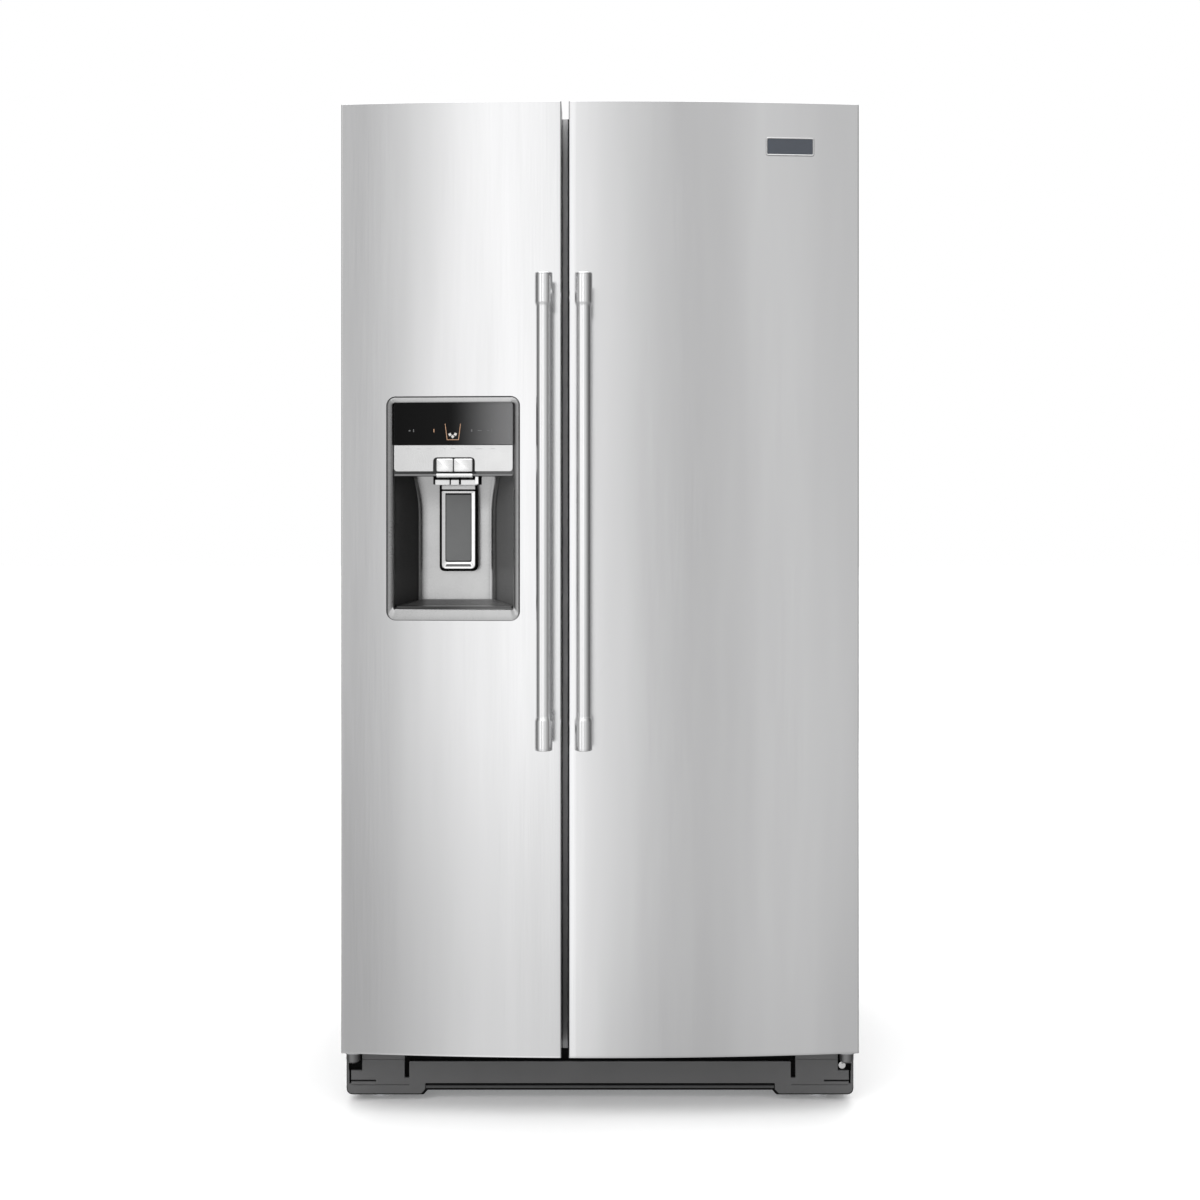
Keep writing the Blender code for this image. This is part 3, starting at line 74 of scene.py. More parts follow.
# name: base colour, roughness, metallic, fine grain per metre along (x, y, z), its height, and shader sockets.
# One number in place of three stands for three equal ones.
FINISHES = {
    "stainless": ((0.640, 0.640, 0.645), 0.15, 1.0, (900, 900, 7), 0.000003, {"Anisotropic": 0.5}),
    "handle_steel": ((0.850, 0.850, 0.855), 0.20, 1.0, (900, 900, 9), 0.000003, {"Anisotropic": 0.3}),
    "chrome": (0.800, 0.12, 1.0, 300, 0.000002, {}),
    "case_paint": ((0.110, 0.110, 0.115), 0.42, 0.0, 420, 0.000090, {"Coat Weight": 0.15}),
    # rail paint darkens towards the bottom as painted shade
    "rail_paint_painted_shade": ((0.820, 0.820, 0.825), 0.45, 0.0, 420, 0.000050, {}),
    "galvanised": ((0.560, 0.570, 0.580), 0.38, 1.0, 60, 0.000010, {}),
    "copper": ((0.720, 0.380, 0.220), 0.32, 1.0, 200, 0.000010, {}),
    "white_plastic": ((0.830, 0.840, 0.850), 0.34, 0.0, 900, 0.000008, {}),
    "clear_plastic": ((0.780, 0.840, 0.870), 0.12, 0.0, 150, 0.000010, {"Alpha": 0.34, "IOR": 1.5}),
    "frosted_trim": ((0.800, 0.830, 0.850), 0.30, 0.0, 900, 0.000008, {}),
    "shelf_glass": ((0.640, 0.780, 0.740), 0.05, 0.0, 20, 0.000002, {"Alpha": 0.30, "IOR": 1.52}),
    "gasket_rubber": ((0.130, 0.130, 0.135), 0.62, 0.0, 1200, 0.000012, {}),
    "dark_plastic": ((0.085, 0.085, 0.086), 0.48, 0.0, 1100, 0.000018, {}),
    # black without gloss, for plates that paint shadow lines and shaded gaps
    "painted_shadow_black": (0.004, 0.90, 0.0, 600, 0.000010, {"Specular IOR Level": 0.05}),
    "grey_metal": ((0.220, 0.220, 0.222), 0.36, 1.0, 300, 0.000010, {}),
    "black_plastic": (0.012, 0.42, 0.0, 1100, 0.000012, {}),
    # recess plastic: darker at the left and lighter towards the right, as painted shade and light
    "recess_plastic_painted_shading": (0.022, 0.30, 0.0, 900, 0.000006, {}),
    # darker copy of the dark plastic for the kick lip: painted shade on its downward face
    "kick_lip_painted_shade": ((0.040, 0.040, 0.041), 0.50, 0.0, 1100, 0.000012, {}),
    "pad_rubber": ((0.120, 0.123, 0.123), 0.46, 0.0, 1300, 0.000015, {}),
    "silver_plastic": (0.500, 0.28, 1.0, 1500, 0.000004, {}),
    "bright_silver": (0.660, 0.28, 1.00, 1500, 0.000003, {}),
    "key_silver": (0.880, 0.26, 1.0, 1500, 0.000003, {}),
    # the black glass turns grey towards the right in its colour: a painted reflection
    "black_glass": (0.002, 0.06, 0.0, 25, 0.000001, {"IOR": 1.18}),
    "slate_inlay": ((0.035, 0.042, 0.055), 0.22, 0.0, 900, 0.000005, {"Coat Weight": 0.5}),
    "black_paint": (0.020, 0.40, 0.0, 500, 0.000020, {}),
    "foam": ((0.780, 0.700, 0.440), 0.85, 0.0, 350, 0.000200, {}),
    "amber_mark": ((0.420, 0.240, 0.140), 0.40, 0.0, 900, 0.000002, {"Emission Strength": 0.05}),
    "pale_mark": ((0.520, 0.500, 0.480), 0.40, 0.0, 900, 0.000002, {}),
    "grey_mark": ((0.090, 0.090, 0.092), 0.45, 0.0, 900, 0.000002, {}),
    "print_grey": (0.420, 0.45, 0.0, 900, 0.000002, {}),
    "lamp_lens": ((0.900, 0.910, 0.920), 0.30, 0.0, 700, 0.000010, {"Emission Strength": 1.6}),
    "floor": (0.900, 0.70, 0.0, 40, 0.000050, {"Emission Strength": 0.12}),
}
# Painted light and shade: each of these colours blends into a second one along an axis, in place of light falloff and
# reflections. name: axis, place where the second colour starts, place where it is full, second colour
PAINTED_LIGHT_FADES = {
    # black glass: painted reflection, black at the left turning grey towards the right
    "black_glass": ("X", -0.265, -0.135, (0.165, 0.165, 0.167)),
    # recess plastic: painted shade on the left wall, painted light towards the right
    "recess_plastic_painted_shading": ("X", -0.290, -0.190, 0.110),
    # rail paint: painted shade, darker towards the bottom
    "rail_paint_painted_shade": ("Z", 0.700, 0.120, (0.230, 0.230, 0.232)),
}
TINT = 0.035  # how much lighter and darker the broad mottling makes a colour
ROUGHNESS_SPREAD = 0.14  # share of the roughness that the fine grain adds and takes away


# ---------------------------------------------------------------- materials
def triple(value):
    """A number as three equal ones; three numbers as they are."""
    return value if isinstance(value, tuple) else (value, value, value)


def noise(nodes, links, where, scale, detail):
    """A noise texture with its own scale per metre along each axis."""
    mapping = nodes.new("ShaderNodeMapping")
    mapping.inputs["Scale"].default_value = scale
    texture = nodes.new("ShaderNodeTexNoise")
    texture.inputs["Scale"].default_value = 1.0
    texture.inputs["Detail"].default_value = detail
    links.new(where.outputs["Object"], mapping.inputs["Vector"])
    links.new(mapping.outputs["Vector"], texture.inputs["Vector"])
    return texture.outputs["Fac"]


def ranged(nodes, links, value, low, high):
    """Spreads the middle of a noise over low to high."""
    node = nodes.new("ShaderNodeMapRange")
    node.inputs["From Min"].default_value = 0.3
    node.inputs["From Max"].default_value = 0.7
    node.inputs["To Min"].default_value = low
    node.inputs["To Max"].default_value = high
    links.new(value, node.inputs["Value"])
    return node.outputs["Result"]


def paint_light_fade(nodes, links, where, base, axis, start, full, colour):
    """Paints light and shade into a colour: blends it into a second one along an axis."""
    split = nodes.new("ShaderNodeSeparateXYZ")
    links.new(where.outputs["Object"], split.inputs["Vector"])
    share = nodes.new("ShaderNodeMapRange")
    share.interpolation_type = "SMOOTHSTEP"
    share.inputs["From Min"].default_value = start
    share.inputs["From Max"].default_value = full
    links.new(split.outputs[axis], share.inputs["Value"])
    mix = nodes.new("ShaderNodeMix")
    mix.data_type = "RGBA"
    links.new(share.outputs["Result"], mix.inputs["Factor"])
    links.new(base, mix.inputs[6])
    mix.inputs[7].default_value = (*triple(colour), 1.0)
    return mix.outputs[2]


def finish(name):
    """The procedural material of that name: mottled colour, grain in the roughness and a fine bump."""
    found = bpy.data.materials.get(f"look_{name}")
    if found:
        return found
    colour, roughness, metallic, grain, height, sockets = FINISHES[name]
    colour, grain = triple(colour), triple(grain)
    made = bpy.data.materials.new(f"look_{name}")
    made.use_nodes = True
    nodes, links = made.node_tree.nodes, made.node_tree.links
    shader = nodes["Principled BSDF"]
    where = nodes.new("ShaderNodeTexCoord")
    fine = noise(nodes, links, where, grain, 3.0)
    broad = noise(nodes, links, where, [max(g / 60, 1.2) for g in grain], 2.0)
    mix = nodes.new("ShaderNodeMix")
    mix.data_type = "RGBA"
    mix.inputs[6].default_value = (*[c * (1 - TINT) for c in colour], 1.0)
    mix.inputs[7].default_value = (*[min(c * (1 + TINT), 1.0) for c in colour], 1.0)
    links.new(ranged(nodes, links, broad, 0.0, 1.0), mix.inputs["Factor"])
    base = mix.outputs[2]
    # painted light and shade: some colours blend into a second one along an axis
    if name in PAINTED_LIGHT_FADES:
        base = paint_light_fade(nodes, links, where, base, *PAINTED_LIGHT_FADES[name])
    links.new(base, shader.inputs["Base Color"])
    spread = roughness * ROUGHNESS_SPREAD
    links.new(
        ranged(nodes, links, fine, roughness - spread, roughness + spread), shader.inputs["Roughness"]
    )
    bump = nodes.new("ShaderNodeBump")
    bump.inputs["Distance"].default_value = height
    links.new(fine, bump.inputs["Height"])
    links.new(bump.outputs["Normal"], shader.inputs["Normal"])
    shader.inputs["Metallic"].default_value = metallic
    for socket, value in sockets.items():
        shader.inputs[socket].default_value = value
    if "Emission Strength" in sockets:
        shader.inputs["Emission Color"].default_value = (*colour, 1.0)
    if "Anisotropic" in sockets:
        tangent = nodes.new("ShaderNodeTangent")
        tangent.direction_type = "RADIAL"
        tangent.axis = "Z"
        links.new(tangent.outputs["Tangent"], shader.inputs["Tangent"])
    return made


# ---------------------------------------------------------------- modelling helpers
SHARP_ANGLE = math.radians(28)  # edges sharper than this get rounded
SMOOTH_ANGLE = math.radians(32)  # edges blunter than this are shaded smooth
BEVEL_ANGLE = math.radians(35)  # the same as the first, for CAD nodes
THROUGH = 0.1  # how far a cutter reaches past what it cuts


def soften(bm, width, segments):
    """Rounds every sharp edge of a bmesh."""
    sharp = [e for e in bm.edges if len(e.link_faces) == 2 and e.calc_face_angle(0.0) > SHARP_ANGLE]
    bmesh.ops.bevel(
        bm, geom=sharp, offset=width, segments=segments, profile=0.5, affect="EDGES", clamp_overlap=True
    )


def weigh_normals(obj):
    """Lets broad flat faces set the shading, so that rounded edges read as rounded."""
    modifier = obj.modifiers.new("weighted_normals", "WEIGHTED_NORMAL")
    modifier.keep_sharp = True


def mesh_piece(name, bm, look=None, soft=0.0, segments=3):
    """Turns a bmesh into an object. Without a look it is a helper for a Boolean, which isn't rendered."""
    bmesh.ops.recalc_face_normals(bm, faces=bm.faces)
    if soft:
        soften(bm, soft, segments)
    mesh = bpy.data.meshes.new(name)
    bm.to_mesh(mesh)
    bm.free()
    obj = bpy.data.objects.new(name, mesh)
    bpy.context.scene.collection.objects.link(obj)
    mesh.shade_smooth()
    mesh.set_sharp_from_angle(angle=SMOOTH_ANGLE)
    if soft:
        weigh_normals(obj)
    if look:
        mesh.materials.append(finish(look))
    else:
        obj.hide_render = True
    return obj


def loft(name, rings, look=None, loop=False, **style):
    """Skins a row of closed rings. loop joins the last ring to the first; otherwise both ends are capped."""
    bm = bmesh.new()
    rows = [[bm.verts.new(point) for point in ring] for ring in rings]
    count = len(rows[0])
    for a, b in zip(rows, rows[1:] + rows[:1] if loop else rows[1:]):
        for i in range(count):
            j = (i + 1) % count
            bm.faces.new((a[i], a[j], b[j], b[i]))
    if not loop:
        bm.faces.new(rows[0])
        bm.faces.new(rows[-1])
    return mesh_piece(name, bm, look, **style)


def prism(name, outline, axis, low, high, look=None, **style):
    """A closed outline swept along an axis. The outline is (y, z) for X, (x, z) for Y and (x, y) for Z."""
    place = {
        "X": lambda u, v, w: (w, u, v),
        "Y": lambda u, v, w: (u, w, v),
        "Z": lambda u, v, w: (u, v, w),
    }[axis]
    return loft(name, [[place(u, v, w) for u, v in outline] for w in (low, high)], look, **style)


def box(name, low, high, look=None, **style):
    outline = [(low[0], low[1]), (high[0], low[1]), (high[0], high[1]), (low[0], high[1])]
    return prism(name, outline, "Z", low[2], high[2], look, **style)


def circle(radius, count, centre=(0.0, 0.0)):
    turns = [2 * math.pi * i / count for i in range(count)]
    return [(centre[0] + radius * math.cos(t), centre[1] + radius * math.sin(t)) for t in turns]


def rod(name, centre, axis, low, high, radius, look=None, count=32, **style):
    return prism(name, circle(radius, count, centre), axis, low, high, look, **style)


def turned(name, profile, look=None, count=48, location=(0, 0, 0), turn=None, **style):
    """A solid of revolution. The profile is (radius, height) from the axis round to the axis."""
    matrix = Matrix.Translation(location) @ (turn or Matrix.Identity(4))
    rings = []
    for radius, height in profile[1:-1]:
        rings.append([matrix @ Vector((x, y, height)) for x, y in circle(radius, count)])
    return loft(name, rings, look, **style)


def rounded(points, radius, steps=5):
    """A closed outline with its corners rounded. The radius is one number, or one for each corner."""
    radii = radius if isinstance(radius, (list, tuple)) else [radius] * len(points)
    made = []
    for i, point in enumerate(points):
        corner, before, after = Vector(point), Vector(points[i - 1]), Vector(
            points[(i + 1) % len(points)]
        )
        if radii[i] <= 0:
            made.append(tuple(corner))
            continue
        to_before, to_after = before - corner, after - corner
        reach = radii[i] / math.tan(to_before.angle(to_after) / 2)
        reach = min(reach, 0.48 * to_before.length, 0.48 * to_after.length)
        a, b = corner + to_before.normalized() * reach, corner + to_after.normalized() * reach
        for step in range(steps + 1):
            t = step / steps
            made.append(tuple(a * (1 - t) ** 2 + corner * 2 * t * (1 - t) + b * t * t))
    return made


def rectangle(x_range, z_range):
    return [
        (x_range[0], z_range[0]), (x_range[1], z_range[0]), (x_range[1], z_range[1]),
        (x_range[0], z_range[1])
    ]


def front_outline(low, high, inset=0.0):
    """Outline of a box as it is seen from the front."""
    return rectangle((low.x + inset, high.x - inset), (low.z + inset, high.z - inset))


def boolean(obj, operation, *others):
    for other in others:
        modifier = obj.modifiers.new(operation.lower(), "BOOLEAN")
        modifier.operation = operation
        modifier.object = other
        modifier.solver = "EXACT"
    return obj


def cut(obj, *others):
    return boolean(obj, "DIFFERENCE", *others)


def join(obj, *others):
    return boolean(obj, "UNION", *others)


def settle(obj, soft=0.0):
    """Applies a piece's Booleans, rounds its sharp edges and removes the helper solids."""
    helpers = [m.object for m in obj.modifiers if m.type == "BOOLEAN"]
    for modifier in list(obj.modifiers):
        if modifier.type == "WEIGHTED_NORMAL":
            obj.modifiers.remove(modifier)
    shown = obj.evaluated_get(bpy.context.evaluated_depsgraph_get())
    mesh = bpy.data.meshes.new_from_object(shown)
    obj.modifiers.clear()
    obj.data = mesh
    bm = bmesh.new()
    bm.from_mesh(mesh)
    bmesh.ops.remove_doubles(bm, verts=bm.verts, dist=0.00002)
    if soft:
        bmesh.ops.dissolve_limit(bm, angle_limit=math.radians(0.3), verts=bm.verts, edges=bm.edges)
        soften(bm, soft, 2)
    bm.to_mesh(mesh)
    bm.free()
    mesh.shade_smooth()
    mesh.set_sharp_from_angle(angle=SMOOTH_ANGLE)
    weigh_normals(obj)
    for helper in set(helpers):
        bpy.data.objects.remove(helper)
    return obj


def place(piece, body, slot, *nodes):
    """Makes a piece move with a body and lets it stand for CAD nodes, whose objects it hides; the slot argument is
    not used.
    """
    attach(piece, body)
    if nodes:
        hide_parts(*nodes)
    return piece


def carry_over(node, look, soft):
    """Shows a CAD node with a finished material, rounded edges and smooth round faces."""
    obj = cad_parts[node]
    obj.data.materials.clear()
    obj.data.materials.append(finish(look))
    weld = obj.modifiers.new("weld", "WELD")
    weld.merge_threshold = 0.00005
    if soft:
        bevel = obj.modifiers.new("bevel", "BEVEL")
        bevel.width = soft
        bevel.segments = 2
        bevel.limit_method = "ANGLE"
        bevel.angle_limit = BEVEL_ANGLE
        bevel.harden_normals = True
    obj.data.shade_smooth()
    obj.data.set_sharp_from_angle(angle=SMOOTH_ANGLE)


# ---------------------------------------------------------------- shapes on the bowed door fronts
def face_y(x):
    """y of the bowed front at x."""
    return EDGE_Y + FACE_RADIUS - BULGE - math.sqrt(FACE_RADIUS**2 - x * x)


def steps_between(low, high, count):
    return [low + (high - low) * i / count for i in range(count + 1)]


DOOR_EDGE_R = 0.0022  # rounding of the upright edges of the door fronts


def door_outline(x_range, inset):
    """Plan of a door, open at its back: bowed front, rounded front edges and straight sides."""
    x0, x1 = x_range[0] + inset, x_range[1] - inset
    radius = max(DOOR_EDGE_R - inset, 0.0003)
    left, right = x0 + radius, x1 - radius

    def corner(x, start):
        y = face_y(x) + inset + radius
        turns = [start + i * math.pi / 2 / 6 for i in range(7)]
        return [(x + radius * math.cos(turn), y + radius * math.sin(turn)) for turn in turns]

    front = [(x, face_y(x) + inset) for x in steps_between(left, right, 44)[1:-1]]
    return [(x0, DOOR_BACK_Y)] + corner(left, math.pi) + front + corner(
        right, 1.5 * math.pi
    ) + [(x1, DOOR_BACK_Y)]


def face_strip(name, x_range, z_range, proud, behind, look=None, **style):
    """A strip that follows the bowed front, from proud in front of it to behind it."""
    xs = steps_between(*x_range, 20)
    outline = [(x, face_y(x) - proud) for x in xs] + [(x, face_y(x) + behind) for x in reversed(xs)]
    return prism(name, outline, "Z", *z_range, look, **style)


def face_plate(name, x_range, z_range, radius, proud, behind, look):
    """A plate with rounded corners on the bowed front. The radius may be one for each corner, from lower left."""
    margin = 0.002
    wide = (x_range[0] - margin, x_range[1] + margin)
    tall = (z_range[0] - margin, z_range[1] + margin)
    plate = face_strip(name, wide, tall, proud, behind, look)
    shape = rounded(rectangle(x_range, z_range), radius, 7)
    return boolean(
        plate, "INTERSECT", prism(f"{name}_shape", shape, "Y", EDGE_Y - THROUGH, EDGE_Y + THROUGH)
    )


def face_ring(name, x_range, z_range, radius, section, look):
    """A frame on the bowed front, given as a loop of steps.

    A step is (inset, height over the front) all round, or (inset, height, inset of the top, inset of the foot,
    height of the top and the foot) where the upper and lower sides differ from the upright ones.
    """
    rings = []
    for step in section:
        side, proud = step[:2]
        top, foot, level = step[2:] if len(step) > 2 else (side, side, proud)
        wide = (x_range[0] + side, x_range[1] - side)
        tall = (z_range[0] + foot, z_range[1] - top)
        corner = max(radius - (side + top) / 2, 0.001)
        across = steps_between(wide[0] + corner, wide[1] - corner, 24)[1:-1]
        outline = []
        for centre_x, centre_z, start in (
            (wide[0] + corner, tall[0] + corner, 180), (wide[1] - corner, tall[0] + corner, 270),
            (wide[1] - corner, tall[1] - corner, 0), (wide[0] + corner, tall[1] - corner, 90),
        ):
            for i in range(9):
                turn = math.radians(start + 90 * i / 8)
                height = proud + (level - proud) * math.sin(turn) ** 2
                outline.append(
                    (centre_x + corner * math.cos(turn), centre_z + corner * math.sin(turn), height)
                )
            if start == 180:
                outline += [(x, tall[0], level) for x in across]
            if start == 0:
                outline += [(x, tall[1], level) for x in reversed(across)]
        rings.append([(x, face_y(x) - height, z) for x, z, height in outline])
    return loft(name, rings, look, loop=True)


# ---------------------------------------------------------------- doors
SHEET = 0.0012  # thickness of the door steel
EDGE_ROLL = 0.0010  # rolled upper and lower edge of the door fronts
EDGE_FLARE = 0.0004  # how far the lower edge of the sheet turns out
EDGE_RETURN = 0.0100  # how far the sheet is folded in over the top and the bottom
PIN_HOLE_R = 0.0056
# label: body, side of its hinge, lowest and highest point of its bin ribs
DOORS = {
    "freezer": ("freezer_door", -1, (0.500, 1.670)),
    "fridge": ("fridge_door", 1, (0.620, 1.670)),
}


def pin_place(side):
    """x and y of the hinge pins on one side."""
    return side * (HALF - 0.022), EDGE_Y + 0.030


def door_steel(label, x_range, z_range):
    """Bowed steel sheet with rolled edges and a narrow return round the top and the bottom."""
    low, high = z_range
    turns = [math.pi / 2 * i / 4 for i in range(5)]
    section = [
        (EDGE_ROLL * (1 - math.sin(t)) - EDGE_FLARE, low + EDGE_ROLL * (1 - math.cos(t))) for t in turns
    ]
    section.append((0.0, low + 0.0040))
    section += [
        (EDGE_ROLL * (1 - math.sin(t)), high - EDGE_ROLL * (1 - math.cos(t))) for t in reversed(turns)
    ]
    section += [(EDGE_RETURN, high), (EDGE_RETURN, high - SHEET), (SHEET, high - SHEET)]
    section += [(SHEET, low + SHEET), (EDGE_RETURN, low + SHEET), (EDGE_RETURN, low)]
    outlines = [door_outline(x_range, inset) for inset, _ in section]
    rings = []
    for k in range(len(outlines[0])):
        rings.append([(*outline[k], z) for outline, (_, z) in zip(outlines, section)])
    return loft(f"{label}_door_steel", rings, "stainless")


def door_cap(name, x_range, z_face, inward, side):
    """Moulded plate that closes the top or the bottom of a door, with a bush for the hinge pin."""
    rings = []
    for inset, depth in ((0.0010, 0.0006), (0.0004, 0.0012), (0.0004, 0.0060)):
        outline = door_outline(x_range, EDGE_RETURN + inset)
        rings.append([(x, y, z_face + inward * depth) for x, y in outline])
    cap = loft(name, rings, "dark_plastic")
    x, y = pin_place(side)
    hole = rod(f"{name}_hole", (x, y), "Z", z_face - 0.02, z_face + 0.02, PIN_HOLE_R)
    return settle(cut(cap, hole))


def door_lining(label, x_range, z_range, ribs_z):
    """White inner panel: flange, raised pad and two upright ribs that carry the bins."""
    inset, skin = 0.0026, 0.020
    flange = rectangle((x_range[0] + inset, x_range[1] - inset), (z_range[0] + inset, z_range[1] - inset))
    name, front = f"{label}_door_lining", DOOR_BACK_Y - skin
    lining = prism(name, rounded(flange, 0.004), "Y", front, DOOR_BACK_Y, "white_plastic", soft=0.0012)
    cavity = CAVITY_X[label]
    x0, x1 = cavity[0] + 0.0127, cavity[1] - 0.0127
    pad_outline = rounded(rectangle((x0, x1), (CAVITY_Z[0] + 0.016, CAVITY_Z[1] - 0.016)), 0.022, 8)
    pad = prism(
        f"{label}_pad", pad_outline, "Y", DOOR_BACK_Y - 0.008, DOOR_BACK_Y + 0.015, soft=0.005, segments=4
    )
    join(lining, pad)
    for number, (a, b) in enumerate(((x0, x0 + 0.022), (x1 - 0.022, x1))):
        lower_half = [(0.002, ribs_z[0]), (0.015, ribs_z[0]), (0.055, ribs_z[0] + 0.030)]
        upper_half = [(0.055, ribs_z[1] - 0.030), (0.015, ribs_z[1]), (0.002, ribs_z[1])]
        side = [(DOOR_BACK_Y + reach, z) for reach, z in lower_half + upper_half]
        outline = rounded(side, [0, 0.004, 0.012, 0.012, 0.004, 0], 4)
        join(lining, prism(f"{label}_rib_{number}", outline, "X", a, b, soft=0.004, segments=3))
    if label == "freezer":
        low = (x0 + 0.001, DOOR_BACK_Y + 0.002, 0.850)
        high = (x1 - 0.001, HIGH["freezer_door_core"].y - 0.0005, 1.270)
        join(lining, box("dispenser_bulge", low, high, soft=0.008))
        room_low = (WINDOW_X[0] - 0.0048, EDGE_Y - THROUGH, OPENING_Z[0])
        room_high = (WINDOW_X[1] + 0.0048, HIGH["dispenser_housing"].y + 0.0004, OPENING_Z[1])
        cut(lining, box("dispenser_room", room_low, room_high))
    return settle(lining)


def door_seal(label):
    """Magnetic bellows seal round the back of a door."""
    low, high = LOW[f"{label}_door_gasket"], HIGH[f"{label}_door_gasket"]
    y0, y1 = low.y, high.y
    section = [
        (0.0010, y0), (0.0000, y0 + 0.0016), (0.0034, y0 + 0.0040), (0.0012, y1 - 0.0045), (0.0012, y1 - 0.0010),
        (0.0024, y1), (0.0118, y1), (0.0130, y1 - 0.0010), (0.0130, y1 - 0.0045), (0.0096, y0 + 0.0040),
        (0.0140, y0 + 0.0016), (0.0130, y0),
    ]
    rings = []
    for inset, y in section:
        shape = rounded(front_outline(low, high, inset), max(0.016 - inset, 0.002), 6)
        rings.append([(x, y, z) for x, z in shape])
    return loft(f"{label}_door_seal", rings, "gasket_rubber", loop=True)


HANDLE_CAP = 0.058  # length of an end cap
HANDLE_CAP_R = 0.015
HANDLE_BAR_R = 0.0129
HANDLE_OFFSET = {"freezer": 0.0003, "fridge": -0.0017}  # along x, from the middle of the CAD bar


def handle(label, body):
    """Round bar with two turned end caps on flared posts."""
    bar = f"{label}_handle_bar"
    x, y = (LOW[bar].x + HIGH[bar].x) / 2 + HANDLE_OFFSET[label], (LOW[bar].y + HIGH[bar].y) / 2
    low, high = LOW[f"{label}_handle_bottom"].z, HIGH[f"{label}_handle_top"].z
    profile = [(0, low + HANDLE_CAP - 0.004), (HANDLE_BAR_R, low + HANDLE_CAP - 0.004)]
    profile += [(HANDLE_BAR_R, high - HANDLE_CAP + 0.004), (0, high - HANDLE_CAP + 0.004)]
    tube = turned(f"{label}_grip", profile, "handle_steel", 64, (x, y, 0))
    place(tube, body, "handle_steel", bar)
    for end, tip, way in (("top", high, -1), ("bottom", low, 1)):
        shape = [
            (0, 0), (HANDLE_CAP_R - 0.0022, 0), (HANDLE_CAP_R - 0.0008, 0.0006), (HANDLE_CAP_R, 0.0018)
        ]
        shape += [
            (HANDLE_CAP_R, 0.0032), (HANDLE_CAP_R - 0.0005, 0.0036), (HANDLE_CAP_R - 0.0005, 0.0042)
        ]
        shape += [(HANDLE_CAP_R, 0.0046)]
        for t in steps_between(0.0, 1.0, 10):
            swell = (1 + math.cos(math.pi * t)) / 2
            neck_r = HANDLE_BAR_R + 0.0003
            shape.append((neck_r + (HANDLE_CAP_R - neck_r) * swell, 0.0505 + 0.0065 * t))
        shape += [(HANDLE_BAR_R - 0.001, HANDLE_CAP), (0, HANDLE_CAP)]
        cap = turned(
            f"{label}_cap_{end}", [(r, tip + way * h) for r, h in shape], "handle_steel", 64, (x, y, 0)
        )
        reach = face_y(x) - y
        foot = [(0, 0.0), (0.0105, 0.0), (0.0105, reach - 0.014), (0.0112, reach - 0.008)]
        foot += [
            (0.0128, reach - 0.0035), (0.0140, reach - 0.0012), (0.0140, reach + 0.0003),
            (0, reach + 0.0003)
        ]
        to_back = Matrix.Rotation(-math.pi / 2, 4, "X")
        post = turned(f"{label}_post_{end}", foot, None, 40, (x, y, tip + way * 0.031), to_back)
        place(settle(join(cap, post)), body, "handle_steel", f"{label}_handle_{end}")


def name_plate():
    """Small blank plate: a satin rim round a dark inlay."""
    low, high = LOW["name_plate"], HIGH["name_plate"]
    wide, tall = (low.x, high.x), (low.z, high.z)
    section = [
        (0.0, 0.0001), (0.0, 0.0012), (0.0007, 0.0020), (0.0016, 0.0022), (0.0024, 0.0018),
        (0.0026, 0.0001)
    ]
    rim = face_ring("plate_rim", wide, tall, 0.004, section, "bright_silver")
    place(rim, "fridge_door", "silver_plastic", "name_plate")
    inset = 0.0025
    inner_wide, inner_tall = (wide[0] + inset, wide[1] - inset), (tall[0] + inset, tall[1] - inset)
    inlay = face_plate("plate_inlay", inner_wide, inner_tall, 0.002, 0.0011, -0.0001, "slate_inlay")
    place(settle(inlay, 0.0002), "fridge_door", "black_glass")


def build_door(label):
    body, side, ribs_z = DOORS[label]
    skin = f"{label}_door_skin"
    x_range, z_range = (LOW[skin].x, HIGH[skin].x), (LOW[skin].z, HIGH[skin].z)
    steel = door_steel(label, x_range, z_range)
    if label == "freezer":
        hole = rounded(rectangle((WINDOW_X[0] - 0.005, WINDOW_X[1] + 0.005), OPENING_Z), 0.008)
        cut(steel, prism("steel_opening", hole, "Y", EDGE_Y - THROUGH, DOOR_BACK_Y - 0.01))
        settle(steel)
    place(steel, body, "stainless", skin)
    place(door_cap(f"{label}_door_top_cap", x_range, z_range[1], -1, side), body, "dark_plastic")
    place(door_cap(f"{label}_door_bottom_cap", x_range, z_range[0], 1, side), body, "dark_plastic")
    place(door_lining(label, x_range, z_range, ribs_z), body, "door_lining", f"{label}_door_core")
    place(door_seal(label), body, "gasket_rubber", f"{label}_door_gasket")
    handle(label, body)


# ---------------------------------------------------------------- dispenser
HOUSING_X = (LOW["dispenser_housing"].x - 0.0016, HIGH["dispenser_housing"].x - 0.0002)
HOUSING_Z = (LOW["dispenser_housing"].z, HIGH["dispenser_housing"].z)
DISPENSER_X = (HOUSING_X[0] + HOUSING_X[1]) / 2
WINDOW_X = (DISPENSER_X - 0.1045, DISPENSER_X + 0.1045)
WINDOW_Z = (HOUSING_Z[0] + 0.0218, HOUSING_Z[1] - 0.0102)
OPENING_Z = (WINDOW_Z[0] - 0.0144, WINDOW_Z[1] + 0.0028)  # of the hole in the door round the dispenser
RECESS_TOP = 1.118
RECESS_BACK_Y = HIGH["dispenser_housing"].y - 0.0034
RECESS_BACK_HALF = 0.064
RECESS_FILLET = 0.014
PANEL_Z = (LOW["control_panel"].z, HIGH["control_panel"].z)
KEYS_X = (LOW["ice_button"].x + 0.0041, HIGH["water_button"].x - 0.0025)
KEYS_SPLIT = HIGH["ice_button"].x - 0.0005
KEYS_TOP = HIGH["ice_button"].z - 0.0038
KEYS_LOW = LOW["ice_button"].z - 0.0012
